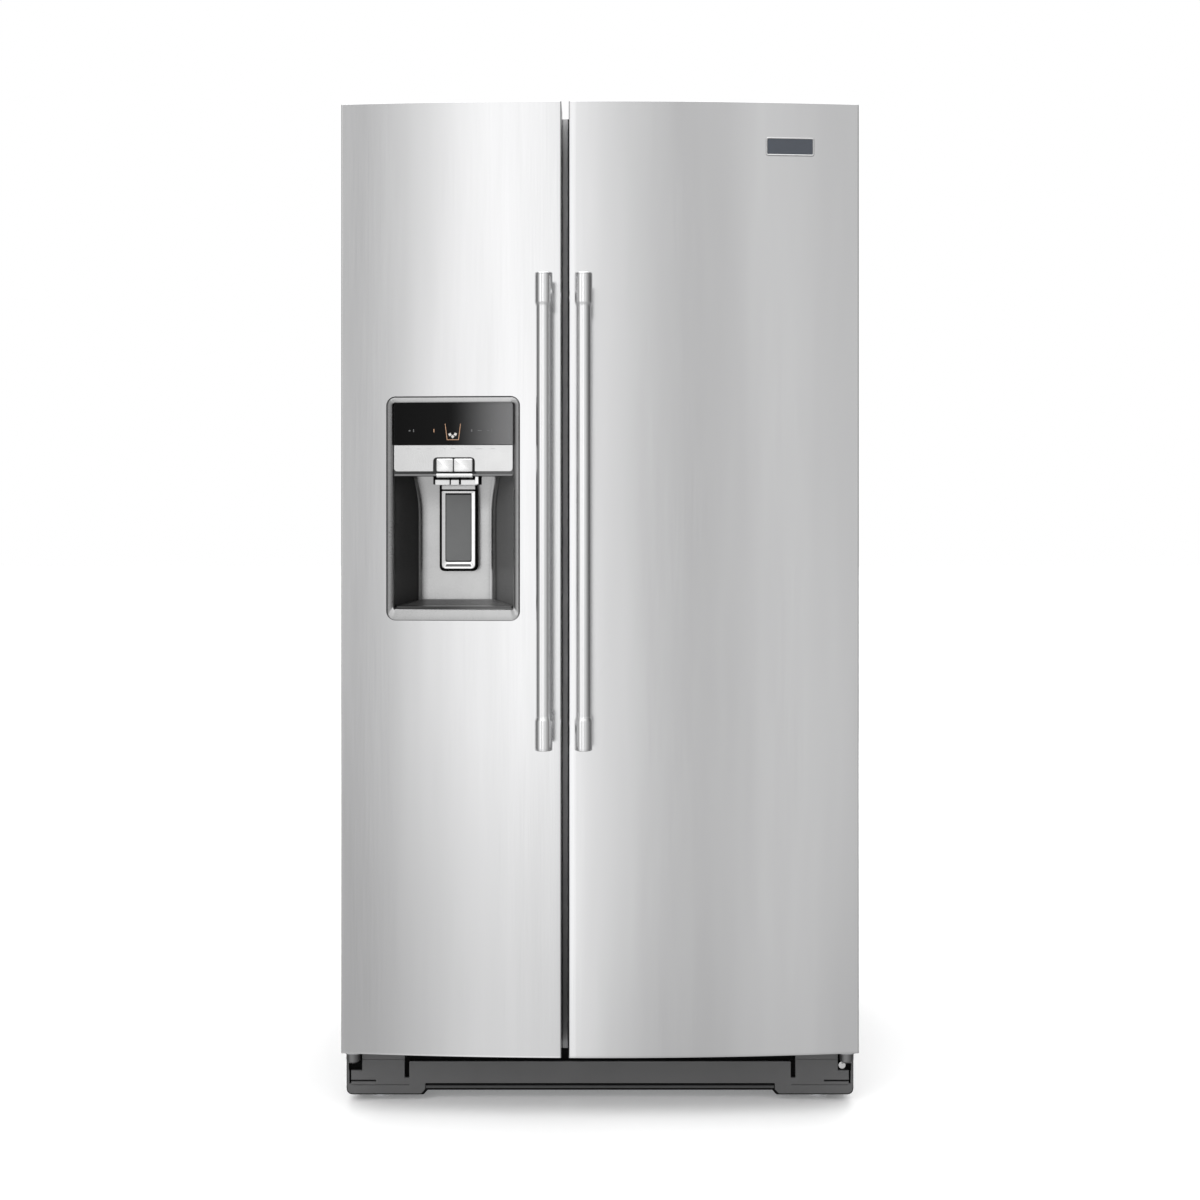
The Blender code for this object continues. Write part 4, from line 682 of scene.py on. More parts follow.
# the black plate paints the shade in the gap round the keys
KEY_SHADOW_PLATE_Y = LOW["ice_button"].y + 0.0158  # black plate behind the keys, clear of them when they are pressed
FASCIA_LOW = 1.1252
GLASS_PROUD, FASCIA_PROUD = 0.0006, 0.0004  # how far they stand out from the door's front
TRAY_SLOPE = 0.13  # rise of the drip tray towards the back of the recess, per metre


def recess_path(shrink):
    """Plan of the recess wall from its left front, round the back, to its right front."""
    half, back = WINDOW_X[1] - DISPENSER_X - shrink, RECESS_BACK_Y - shrink
    inner = RECESS_BACK_HALF - shrink * 0.6
    corners = [
        (DISPENSER_X - half, EDGE_Y - 0.1), (
            DISPENSER_X - half, EDGE_Y + 0.002
        ), (DISPENSER_X - inner, back),
        (DISPENSER_X + inner, back), (
            DISPENSER_X + half, EDGE_Y + 0.002
        ), (DISPENSER_X + half, EDGE_Y - 0.1),
    ]
    return rounded(corners, [0, 0.010, RECESS_FILLET, RECESS_FILLET, 0.010, 0], 8)


def dispenser_bezel():
    """Silver surround of the dispenser, and a black ring round it that paints the shadow line in the gap, widest at
    the left.
    """
    section = [
        (0.0006, 0.0001, 0.0028, 0.0010, 0.0001), (0.0006, 0.0014, 0.0028, 0.0010, 0.0026),
        (0.0018, 0.0030, 0.0032, 0.0014, 0.0032), (0.0030, 0.0036, 0.0040, 0.0024, 0.0034),
        (0.0066, 0.0017, 0.0066, 0.0110, 0.0034), (0.0100, -0.0010, 0.0096, 0.0186, 0.0031),
        (0.0118, -0.0044, 0.0110, 0.0196, 0.0020), (0.0122, -0.0070, 0.0116, 0.0200, -0.0070),
        (0.0060, -0.0070, 0.0060, 0.0060, -0.0070), (0.0060, 0.0001, 0.0060, 0.0060, 0.0001),
    ]
    bezel = face_ring("dispenser_bezel", HOUSING_X, HOUSING_Z, 0.016, section, "silver_plastic")
    place(bezel, "freezer_door", "silver_plastic")
    # black ring: painted shadow line round the bezel
    line = [
        (-0.0012, 0.0001, 0.0002, 0.0002, 0.0001), (-0.0012, 0.0006, 0.0002, 0.0002, 0.0006),
        (0.0010, 0.0006, 0.0032, 0.0014, 0.0006), (0.0010, 0.0001, 0.0032, 0.0014, 0.0001),
    ]
    wide = (HOUSING_X[0], HOUSING_X[1] - 0.0012)
    shadow_ring = face_ring("bezel_shadow_line", wide, HOUSING_Z, 0.016, line, "black_plastic")
    place(shadow_ring, "freezer_door", "gasket_rubber")


def dispenser_tub():
    """Dark moulding behind the bezel with the recess in it, and the bright back and sill of that recess. Its colour
    carries painted shade and light: darkest at the left wall, lighter towards the right.
    """
    side, back = 0.0042, HIGH["dispenser_housing"].y
    xs = steps_between(WINDOW_X[0] - side, WINDOW_X[1] + side, 20)
    outline = [(x, face_y(x) + 0.0046) for x in xs] + [(xs[-1], back), (xs[0], back)]
    tub = prism(
        "dispenser_tub", outline, "Z", WINDOW_Z[0] - 0.0138, WINDOW_Z[1] + 0.0022, "recess_plastic_painted_shading"
    )
    space = prism("recess_space", recess_path(0.0), "Z", WINDOW_Z[0], RECESS_TOP)
    cut(tub, space)
    room_low = (KEYS_X[0] - 0.009, EDGE_Y - THROUGH, FASCIA_LOW - 0.007)
    cut(tub, box("key_room", room_low, (KEYS_X[1] + 0.006, KEY_SHADOW_PLATE_Y + 0.0031, KEYS_TOP + 0.005)))
    place(settle(tub), "freezer_door", "dark_plastic", "dispenser_housing")
    recess_back()
    sill_low, sill_high = WINDOW_Z[0] + 0.0098, WINDOW_Z[0] + 0.0120
    low = (DISPENSER_X - RECESS_BACK_HALF - 0.002, RECESS_BACK_Y - 0.0065, sill_low)
    high = (DISPENSER_X + RECESS_BACK_HALF + 0.002, RECESS_BACK_Y - 0.001, sill_high)
    place(box("recess_sill", low, high, "bright_silver", soft=0.0009), "freezer_door", "silver_plastic")


def recess_back():
    """Bright rear wall of the recess: slightly hollow, with its sides turned out and its top coved forward."""
    cove_low, cove_reach, hollow, side_turn, sheet = 1.050, 0.014, 0.0022, 0.0080, 0.0010
    rings = []
    for z in [WINDOW_Z[0] + 0.0100] + steps_between(cove_low, RECESS_TOP - 0.0002, 8):
        cove = cove_reach * max((z - cove_low) / (RECESS_TOP - cove_low), 0.0) ** 2
        half = RECESS_BACK_HALF + 0.0050 + 0.58 * cove
        front = []
        for u in steps_between(-1.0, 1.0, 32):
            turned_in = max(abs(u) - 0.84, 0.0) / 0.16
            y = RECESS_BACK_Y - 0.0006 - cove - hollow * u * u - side_turn * turned_in**2
            front.append((DISPENSER_X + half * u, y - sheet, z))
        rings.append(front + [(x, y + sheet, z) for x, y, z in reversed(front)])
    place(loft("recess_back", rings, "silver_plastic"), "freezer_door", "silver_plastic")


def dispenser_fascia():
    """Bright strip between the glass and the recess, with a pocket for the keys and a thin brow under it. A black
    plate in the pocket paints the shade in the gap round the keys.
    """
    wide = (WINDOW_X[0] + 0.0006, WINDOW_X[1] - 0.0006)
    tall, radii = (FASCIA_LOW, PANEL_Z[0] - 0.0012), [0.006, 0.006, 0.0004, 0.0004]
    fascia = face_plate("dispenser_fascia", wide, tall, radii, FASCIA_PROUD, 0.0044, "bright_silver")
    gap_left, gap_right, gap_top = 0.0066, 0.0036, 0.0026
    pocket = rectangle(
        (KEYS_X[0] - gap_left, KEYS_X[1] + gap_right), (FASCIA_LOW - 0.02, KEYS_TOP + gap_top)
    )
    cut(fascia, prism("key_pocket", rounded(pocket, 0.008), "Y", EDGE_Y - THROUGH, EDGE_Y + THROUGH))
    place(settle(fascia, 0.0009), "freezer_door", "silver_plastic")
    # black plate: painted shade in the gap round the keys
    shadow_plate_low = (KEYS_X[0] - 0.008, KEY_SHADOW_PLATE_Y, FASCIA_LOW - 0.006)
    shadow_plate_high = (KEYS_X[1] + 0.005, KEY_SHADOW_PLATE_Y + 0.003, KEYS_TOP + 0.004)
    shadow_plate = box("key_pocket_shadow_plate", shadow_plate_low, shadow_plate_high, "black_plastic", soft=0.0005)
    place(shadow_plate, "freezer_door", "dark_plastic")
    brow_z = (RECESS_TOP - 0.0010, RECESS_TOP + 0.0027)
    brow = face_strip("recess_brow", wide, brow_z, -0.0020, 0.0060, "grey_metal", soft=0.0006)
    place(brow, "freezer_door", "silver_plastic")


def key(name, x_range, body, node):
    """A press key with a softly domed face."""
    face = LOW[node].y + 0.0012
    outline = rounded(rectangle(x_range, (KEYS_LOW, KEYS_TOP)), 0.0022, 4)
    middle_x, middle_z = sum(x_range) / 2, (KEYS_LOW + KEYS_TOP) / 2
    wide, tall = x_range[1] - x_range[0], KEYS_TOP - KEYS_LOW
    rings = []
    for inset, depth in ((0.0016, 0.0), (0.0007, 0.0003), (0.0002, 0.0009), (0.0, 0.0020), (0.0, 0.0120)):
        x_share, z_share = 1 - 2 * inset / wide, 1 - 2 * inset / tall
        rings.append([
            (middle_x + (x - middle_x) * x_share, face + depth, middle_z + (z - middle_z) * z_share)
            for x, z in outline
        ])
    place(loft(name, rings, "key_silver"), body, "silver_plastic", node)


def dispenser_keys():
    """The two press keys and the bright lip under them."""
    key("ice_key", (KEYS_X[0], KEYS_SPLIT - 0.0006), "ice_button", "ice_button")
    key("water_key", (KEYS_SPLIT + 0.0006, KEYS_X[1]), "water_button", "water_button")
    front, top, low = LOW["ice_button"].y, KEYS_LOW - 0.0030, KEYS_LOW - 0.0104
    lip = [(front + 0.0050, top), (front + 0.0010, top - 0.0006), (front, top - 0.0030)]
    lip += [
        (front + 0.0014, low + 0.0012), (front + 0.0050, low), (front + 0.0160, low),
        (front + 0.0160, top)
    ]
    outline = rounded(lip, [0.001, 0.002, 0.003, 0.002, 0.002, 0, 0], 4)
    rail = prism("key_rail", outline, "X", *KEYS_X, "key_silver", soft=0.0006)
    place(rail, "freezer_door", "silver_plastic")


def dispenser_nozzle():
    """Outlet block under the keys: two dark slits, and an upright ear at its right end. A black plate behind it
    paints the shade in the slits and round the block.
    """
    x0, x1, low, high = -0.2900, -0.2130, 1.1016, 1.1108
    front, back = EDGE_Y - 0.004, EDGE_Y + 0.046
    plan = [(x0, front), (x1, front), (x1 - 0.008, back), (x0 + 0.008, back)]
    block = prism("outlet_nozzle", rounded(plan, 0.003), "Z", low, high, "bright_silver")
    for number, (x, half) in enumerate(((-0.2622, 0.0010), (-0.2452, 0.0016))):
        cut(
            block,
            box(f"nozzle_slot_{number}", (x - half, front - 0.02, 1.09), (x + half, front + 0.010, 1.13))
        )
    place(settle(block, 0.0007), "freezer_door", "silver_plastic")
    ear_low, ear_high = (x1 - 0.0060, front - 0.0006, low + 0.0012), (x1 + 0.0004, front + 0.0140, 1.1172)
    place(
        box("nozzle_ear", ear_low, ear_high, "key_silver", soft=0.0010), "freezer_door", "silver_plastic"
    )
    # black plate: painted shade in the slits and round the nozzle
    shadow_plate_low = (x0 - 0.0022, front + 0.0020, low + 0.0012)
    shadow_plate = box(
        "nozzle_shadow_plate", shadow_plate_low, (x1 + 0.0030, back - 0.010, RECESS_TOP + 0.001), "painted_shadow_black",
        soft=0.0006
    )
    place(shadow_plate, "freezer_door", "dark_plastic")


def plate_ring(name, x_range, z_range, steps, look):
    """A flat frame given as a loop of steps: (side inset, foot inset, top inset, y, radius of the lower corners)."""
    rings = []
    for side, foot, top, y, radius in steps:
        shape = rectangle((x_range[0] + side, x_range[1] - side), (z_range[0] + foot, z_range[1] - top))
        rings.append([(x, y, z) for x, z in rounded(shape, [radius, radius, 0.0012, 0.0012], 7)])
    return loft(name, rings, look, loop=True)


def dispenser_lever():
    """Paddle with a bright hollow frame round a dark pad, a toe under it, and a black backing round it all that
    paints its shadow line.
    """
    node = "dispenser_lever"
    wide, tall = (LOW[node].x, HIGH[node].x), (LOW[node].z + 0.0060, 1.1032)
    front, edge, pad_side, pad_foot = RECESS_BACK_Y - 0.0310, 0.0040, 0.0112, 0.0182
    frame_back = front + 0.0049
    outline = rounded(rectangle(wide, tall), [0.010, 0.010, 0.001, 0.001], 7)
    # black backing: painted shadow line round the lever
    shadow_backing = prism(
        "lever_shadow_backing", outline, "Y", front + 0.0050, front + 0.0080, "painted_shadow_black", soft=0.0005
    )
    place(shadow_backing, node, "dark_plastic", node)
    frame_steps = [
        (edge, edge, 0.0114, frame_back, 0.0085), (edge, edge, 0.0114, front + 0.0008, 0.0085),
        (edge + 0.0008, edge + 0.0010, 0.0118, front, 0.0080),
        (pad_side - 0.0006, pad_foot - 0.0020, 0.0152, front + 0.0020, 0.0040),
        (pad_side, pad_foot, 0.0156, frame_back, 0.0036),
    ]
    place(plate_ring("lever_frame", wide, tall, frame_steps, "key_silver"), node, "silver_plastic")
    pad_wide = (wide[0] + pad_side + 0.0006, wide[1] - pad_side - 0.0006)
    pad_shape = rectangle(pad_wide, (tall[0] + pad_foot + 0.0004, tall[1] - 0.0180))
    pad_outline = rounded(pad_shape, [0.0034, 0.0034, 0.0006, 0.0006])
    pad = prism("lever_pad", pad_outline, "Y", front + 0.0024, frame_back, "pad_rubber", soft=0.0005)
    place(pad, node, "gasket_rubber")
    toe = []
    for z, inset, lean in ((tall[0] + 0.0046, 0.0090, 0.0016), (tall[0] + 0.0128, 0.0128, -0.0008)):
        shape = rectangle((wide[0] + inset, wide[1] - inset), (front + lean, front + 0.0046))
        toe.append([(x, y, z) for x, y in shape])
    place(loft("lever_toe", toe, "grey_metal", soft=0.0004), node, "silver_plastic")
    neck_low = (wide[0] + edge, front + 0.0024, tall[1] - 0.0088)
    neck = box(
        "lever_neck", neck_low, (wide[1] - edge, frame_back, tall[1] - 0.0002), "silver_plastic",
        soft=0.0010
    )
    place(neck, node, "silver_plastic")
    middle = sum(wide) / 2
    arm_low = (middle - 0.012, front + 0.0081, tall[1] - 0.012)
    arm = box(
        "lever_arm", arm_low, (middle + 0.012, front + 0.0124, RECESS_TOP - 0.006), "silver_plastic",
        soft=0.001
    )
    place(arm, node, "silver_plastic")


def drip_tray():
    """Lift out grille: a rim round slots that run from side to side."""
    low, high = LOW["drip_tray"], HIGH["drip_tray"]
    back, front = RECESS_BACK_Y - 0.0075, low.y
    back_left, back_right = DISPENSER_X - RECESS_BACK_HALF - 0.001, DISPENSER_X + RECESS_BACK_HALF + 0.001
    plan = [(low.x, front), (high.x, front), (high.x, EDGE_Y + 0.001)]
    plan += [(back_right, back), (back_left, back), (low.x, EDGE_Y + 0.001)]
    # the drip grille's colour carries the same painted shade, darker on the left
    tray = prism("drip_grille", rounded(plan, 0.004), "Z", low.z, high.z, "recess_plastic_painted_shading")
    for i in range(8):
        y = EDGE_Y + 0.006 + i * 0.0068
        reach = 0.092 - 0.034 * max(y - EDGE_Y, 0.0) / 0.07
        slot = rounded(
            rectangle((DISPENSER_X - reach, DISPENSER_X + reach), (y - 0.0017, y + 0.0017)), 0.0016, 3
        )
        cut(tray, prism(f"tray_slot_{i}", slot, "Z", low.z - 0.01, high.z + 0.01))
    settle(tray, 0.0006)
    for vertex in tray.data.vertices:
        vertex.co.z += TRAY_SLOPE * (vertex.co.y - low.y) - 0.0022
    place(tray, "freezer_door", "dark_plastic", "drip_tray")


def flat_mark(name, outline, proud, look):
    """A printed mark on the bowed front, raised by a hair from the surface behind it."""
    rings = [[(x, face_y(x) - proud + depth, z) for x, z in outline] for depth in (-0.00012, 0.0004)]
    return place(loft(name, rings, look), "freezer_door", "black_glass")


MARKS_Z = 1.1962  # middle of the row of marks on the glass
PRINT_Z = (1.1640, 1.1650)
# along x from the cup's middle, width, height, look
PANEL_MARKS = (
    (-0.0331, 0.0014, 0.0060, "amber_mark"), (-0.0760, 0.0030, 0.0024, "grey_mark"),
    (-0.0690, 0.0016, 0.0050, "grey_mark"), (0.0330, 0.0024, 0.0044, "grey_mark"),
    (0.0470, 0.0070, 0.0014, "grey_mark"), (0.0620, 0.0040, 0.0014, "grey_mark"),
    (0.0680, 0.0014, 0.0060, "grey_mark"), (0.0780, 0.0060, 0.0014, "grey_mark"),
)
# along x from the cup's middle, half the width
FASCIA_MARKS = (
    (-0.078, 0.006), (-0.060, 0.003), (-0.042, 0.005), (-0.014, 0.0012),
    (0.0, 0.004), (0.016, 0.0012), (0.046, 0.006), (0.070, 0.004),
)
# ice cubes in the cup: along x from its middle, height over its foot, turn in degrees
ICE_MARKS = ((-0.0050, 0.0096, 30), (0.0044, 0.0100, -30), (-0.0002, 0.0060, 45))


def cup_marks(cup_x):
    """A plain cup with three ice cubes."""
    low, high, line, top_half, low_half, size = 1.1797, 1.2080, 0.0010, 0.0140, 0.0105, 0.0023
    cup = [(-top_half, high), (-low_half, low), (low_half, low), (top_half, high)]
    cup += [(top_half - line, high), (low_half - line, low + line)]
    cup += [(-low_half + line, low + line), (-top_half + line, high)]
    flat_mark("cup_mark", [(cup_x + x, z) for x, z in cup], GLASS_PROUD, "amber_mark")
    for number, (dx, dz, turn) in enumerate(ICE_MARKS):
        c, s = size * math.cos(math.radians(turn)), size * math.sin(math.radians(turn))
        corners = ((-1, -1), (1, -1), (1, 1), (-1, 1))
        square = [(cup_x + dx + c * u - s * v, low + dz + s * u + c * v) for u, v in corners]
        flat_mark(f"ice_mark_{number}", square, GLASS_PROUD, "pale_mark")


def control_panel():
    """Black glass with generic pictograms and no lettering, and plain dashes on the fascia under it."""
    wide, radii = (WINDOW_X[0] + 0.0005, WINDOW_X[1] - 0.0005), [0.0004, 0.0004, 0.005, 0.005]
    # the glass's colour greys towards the right: a painted reflection
    glass = face_plate("control_glass", wide, PANEL_Z, radii, GLASS_PROUD, 0.0044, "black_glass")
    place(settle(glass, 0.0004), "freezer_door", "black_glass", "control_panel")
    cup_x = DISPENSER_X - 0.0006
    cup_marks(cup_x)
    for number, (dx, width, height, look) in enumerate(PANEL_MARKS):
        x_range = (cup_x + dx - width / 2, cup_x + dx + width / 2)
        shape = rectangle(x_range, (MARKS_Z - height / 2, MARKS_Z + height / 2))
        flat_mark(f"panel_mark_{number}", shape, GLASS_PROUD, look)
    for number, (dx, half) in enumerate(FASCIA_MARKS):
        shape = rectangle((cup_x + dx - half, cup_x + dx + half), PRINT_Z)
        flat_mark(f"fascia_mark_{number}", shape, FASCIA_PROUD, "print_grey")


def build_dispenser():
    dispenser_bezel()
    dispenser_tub()
    dispenser_fascia()
    dispenser_keys()
    dispenser_nozzle()
    dispenser_lever()
    drip_tray()
    control_panel()


# ---------------------------------------------------------------- cabinet
def case():
    """Painted steel case: rounded long edges, a front flange with two openings and a folded rear edge."""
    low, high = LOW["outer_case"], HIGH["outer_case"]
    sheet, flange, corner = 0.002, 0.024, 0.005
    outline = rounded(rectangle((low.x, high.x), (low.z - 0.02, high.z)), [0, 0, corner, corner], 5)
    shell = prism("case_shell", outline, "Y", low.y, high.y, "case_paint", soft=0.0012)
    inner = rectangle((low.x + sheet, high.x - sheet), (low.z - THROUGH, high.z - sheet))
    inner = rounded(inner, [0, 0, corner - sheet, corner - sheet], 5)
    cut(shell, prism("case_inside", inner, "Y", low.y + sheet, high.y + THROUGH))
    trim_low = (low.x - THROUGH, low.y - THROUGH, low.z - THROUGH)
    cut(shell, box("case_foot_trim", trim_low, (high.x + THROUGH, high.y + THROUGH, low.z)))
    freezer_edge, fridge_edge = HIGH["freezer_liner"].x + 0.0004, LOW["fridge_liner"].x - 0.0004
    for number, (a, b) in enumerate(((low.x + flange, freezer_edge), (fridge_edge, high.x - flange))):
        opening_low = (a, low.y - THROUGH, LOW["freezer_liner"].z - 0.0005)
        cut(shell, box(f"case_opening_{number}", opening_low, (b, low.y + THROUGH, high.z - 0.030)))
    place(settle(shell), "cabinet", "case_paint", "outer_case")
    side, foot = sheet + 0.0004, LOW["back_panel"].z
    rim_outline = rectangle((low.x + side, high.x - side), (foot, high.z - side))
    hole_outline = rectangle((low.x + 0.016, high.x - 0.016), (foot - THROUGH, high.z - 0.016))
    rim = prism("case_rear_edge", rim_outline, "Y", high.y - 0.0012, high.y - 0.0002, "case_paint")
    cut(rim, prism("rear_edge_hole", hole_outline, "Y", high.y - 0.05, high.y + 0.05))
    place(settle(rim), "cabinet", "case_paint")


def gap_rail():
    """Pale strip on the mullion, seen in the gap between the doors, on a black strip that paints the shade at its
    sides. The pale strip's colour darkens towards the bottom: painted shade.
    """
    x0, x1 = HIGH["freezer_door_gasket"].x + 0.0010, LOW["fridge_door_gasket"].x - 0.0010
    # black strip: painted shade in the gap beside the pale strip
    shadow_plate = box(
        "gap_shadow_strip", (x0, CASE_Y - 0.0012, 0.096), (x1, CASE_Y + 0.0001, CASE_TOP - 0.001), "painted_shadow_black"
    )
    place(shadow_plate, "cabinet", "case_paint")
    middle, half = (x0 + x1) / 2 - 0.0014, 0.0046
    rail_low = (middle - half, CASE_Y - 0.0050, 0.0745)
    rail = box(
        "gap_rail", rail_low, (middle + half, CASE_Y - 0.0010, CASE_TOP - 0.001), "rail_paint_painted_shade",
        soft=0.0012
    )
    place(rail, "cabinet", "case_paint")


def screw_heads(name, places, axis, radius, look="galvanised"):
    """Hexagon washer head screws, as one group. Each place is (x, y, z) of the seat and axis is the way out."""
    bm = bmesh.new()
    turn = Vector((0, 0, 1)).rotation_difference(Vector(axis)).to_matrix().to_4x4()
    parts = [(radius * 1.5, 0.0, 0.0011, 24), (radius, 0.0011, 0.0042, 6)]
    for seat in places:
        matrix = Matrix.Translation(seat) @ turn
        for size, low, high, count in parts:
            ends = [
                [
                    bm.verts.new(matrix @ Vector((x, y, z))) for x, y in circle(size, count)
                ] for z in (low, high)
            ]
            bm.faces.new(ends[0])
            bm.faces.new(ends[1])
            for i in range(count):
                j = (i + 1) % count
                bm.faces.new((ends[0][i], ends[0][j], ends[1][j], ends[1][i]))
    return mesh_piece(name, bm, look, soft=0.0004, segments=2)


def back_panel():
    """Galvanised rear sheet with three pressed stiffening fields and screws round its edge."""
    low, high = LOW["back_panel"], HIGH["back_panel"]
    sheet = box("rear_sheet", tuple(low), tuple(high), "galvanised")
    fields = ((-0.36, -0.15), (-0.105, 0.105), (0.15, 0.36))
    for number, x_range in enumerate(fields):
        outline = rounded(rectangle(x_range, (low.z + 0.10, high.z - 0.10)), 0.030, 8)
        join(
            sheet,
            prism(f"rear_field_{number}", outline, "Y", low.y + 0.0005, high.y + 0.0024, soft=0.0020)
        )
        inner = rectangle((x_range[0] + 0.030, x_range[1] - 0.030), (low.z + 0.13, high.z - 0.13))
        dish = prism(
            f"rear_dish_{number}", rounded(inner, 0.018, 8), "Y", high.y + 0.0004, high.y + 0.02,
            soft=0.0012
        )
        cut(sheet, dish)
    place(settle(sheet), "cabinet", "bare_steel", "back_panel")
    side = high.x - 0.022
    places = [
        (s * side, high.y + 0.0002, z) for s in (-1, 1) for z in steps_between(
            low.z + 0.05, high.z - 0.03, 6
        )
    ]
    places += [(x, high.y + 0.0002, high.z - 0.022) for x in steps_between(-0.30, 0.30, 3)]
    place(screw_heads("rear_screws", places, (0, 1, 0), 0.0040), "cabinet", "bare_steel")


# hood over an air slot: (out from the cover, up from the slot's lower edge)
HOOD_SECTION = (
    (-0.0012, 0.0086), (-0.0012, 0.0128), (0.0022, 0.0092), (0.0022, 0.0060), (0.0010, 0.0060), (0.0010, 0.0086),
)


def machine_cover():
    """Pressed cover of the machine bay with two banks of hooded air slots."""
    low, high = LOW["machine_cover"].copy(), HIGH["machine_cover"].copy()
    low.x, high.x = LOW["outer_case"].x + 0.0014, HIGH["outer_case"].x - 0.0014
    outline = rounded(front_outline(low, high), 0.010, 6)
    pan = prism("bay_cover", outline, "Y", low.y, high.y, "galvanised", soft=0.004, segments=4)
    inside = rounded(front_outline(low, high, 0.0015), 0.009, 6)
    cut(pan, prism("bay_inside", inside, "Y", low.y - 0.05, high.y - 0.0016, soft=0.003))
    hoods = []
    for bank in (-0.24, 0.24):
        for row in range(8):
            z = 0.075 + row * 0.028
            slot = rounded(rectangle((bank - 0.130, bank + 0.130), (z, z + 0.009)), 0.0044, 4)
            cut(pan, prism(f"bay_slot_{bank}_{row}", slot, "Y", high.y - 0.02, high.y + 0.02))
            lip = [(high.y + out, z + up) for out, up in HOOD_SECTION]
            hoods.append(prism(f"bay_hood_{bank}_{row}", lip, "X", bank - 0.130, bank + 0.130))
    join(pan, *hoods)
    place(settle(pan), "cabinet", "bare_steel", "machine_cover")
    heights = (low.z + 0.016, high.z - 0.016)
    seats = [(x, high.y, z) for x in (low.x + 0.016, -0.020, high.x - 0.016) for z in heights]
    place(screw_heads("bay_screws", seats, (0, 1, 0), 0.0040), "cabinet", "bare_steel")


def liner(label, shelves_z):
    """Moulded compartment lining: rounded corners, a front lip and ledges under the shelves and drawers."""
    node = f"{label}_liner"
    low, high = LOW[node], HIGH[node]
    x0, x1 = CAVITY_X[label]
    front, sheet, corner = CASE_Y + 0.0002, 0.0025, 0.016
    floor, top, back = CAVITY_Z[0], CAVITY_Z[1], CAVITY_BACK_Y
    flange = prism(
        f"{label}_lining", front_outline(low, high), "Y", front, front + 0.0018, "white_plastic"
    )

    def side_view(grow, start):
        hump_y, hump_top = HUMP_Y + grow, HUMP_TOP - grow
        lower = [(start, floor - grow), (hump_y, floor - grow), (hump_y, hump_top)]
        return lower + [(back + grow, hump_top), (back + grow, top + grow), (start, top + grow)]

    join(flange, prism(f"{label}_lining_shell", side_view(sheet, front), "X", x0 - sheet, x1 + sheet))
    cut(
        flange,
        prism(f"{label}_space", side_view(0.0, front - 0.05), "X", x0, x1, soft=corner, segments=5)
    )
    settle(flange)
    ledges = [(z, LOW["fridge_shelf_upper"].y + 0.020, shelf_back) for z, shelf_back in shelves_z]
    for number, (z, y0, y1) in enumerate(ledges):
        for side, (a, b) in enumerate(((x0 - 0.001, x0 + 0.009), (x1 - 0.009, x1 + 0.001))):
            join(
                flange, box(f"{label}_ledge_{number}_{side}", (a, y0, z - 0.007), (b, y1, z), soft=0.002)
            )
    place(settle(flange), "cabinet", "white_plastic", node)


def hinge_covers():
    """Moulded caps over the top hinges, hollow below, each with its screw."""
    for side, label in ((-1, "left"), (1, "right")):
        node = f"hinge_cover_{label}"
        low, high = LOW[node], HIGH[node]
        plan = rounded(rectangle((low.x, high.x), (low.y, high.y)), [0.008, 0.008, 0.014, 0.014], 6)
        cover = prism(
            f"hinge_cap_{label}", plan, "Z", CASE_TOP + 0.0004, high.z, "dark_plastic", soft=0.003,
            segments=4
        )
        under = rectangle((low.y - 0.01, CASE_Y + 0.001), (CASE_TOP - 0.01, 1.7704))
        room = [(low.y + 0.002, 1.75), (low.y + 0.002, 1.7736), (CASE_Y + 0.020, 1.7736)]
        room += [(high.y - 0.004, 1.7690), (high.y - 0.004, 1.75)]
        cut(cover, prism(f"cap_under_{label}", under, "X", low.x - 0.01, high.x + 0.01))
        cut(cover, prism(f"cap_room_{label}", room, "X", low.x + 0.002, high.x - 0.002))
        place(settle(cover, 0.0004), "cabinet", "dark_plastic", node)
        seat = (pin_place(side)[0] - side * 0.014, high.y - 0.018, high.z - 0.0016)
        place(screw_heads(f"cap_screw_{label}", [seat], (0, 0, 1), 0.0026), "cabinet", "bare_steel")


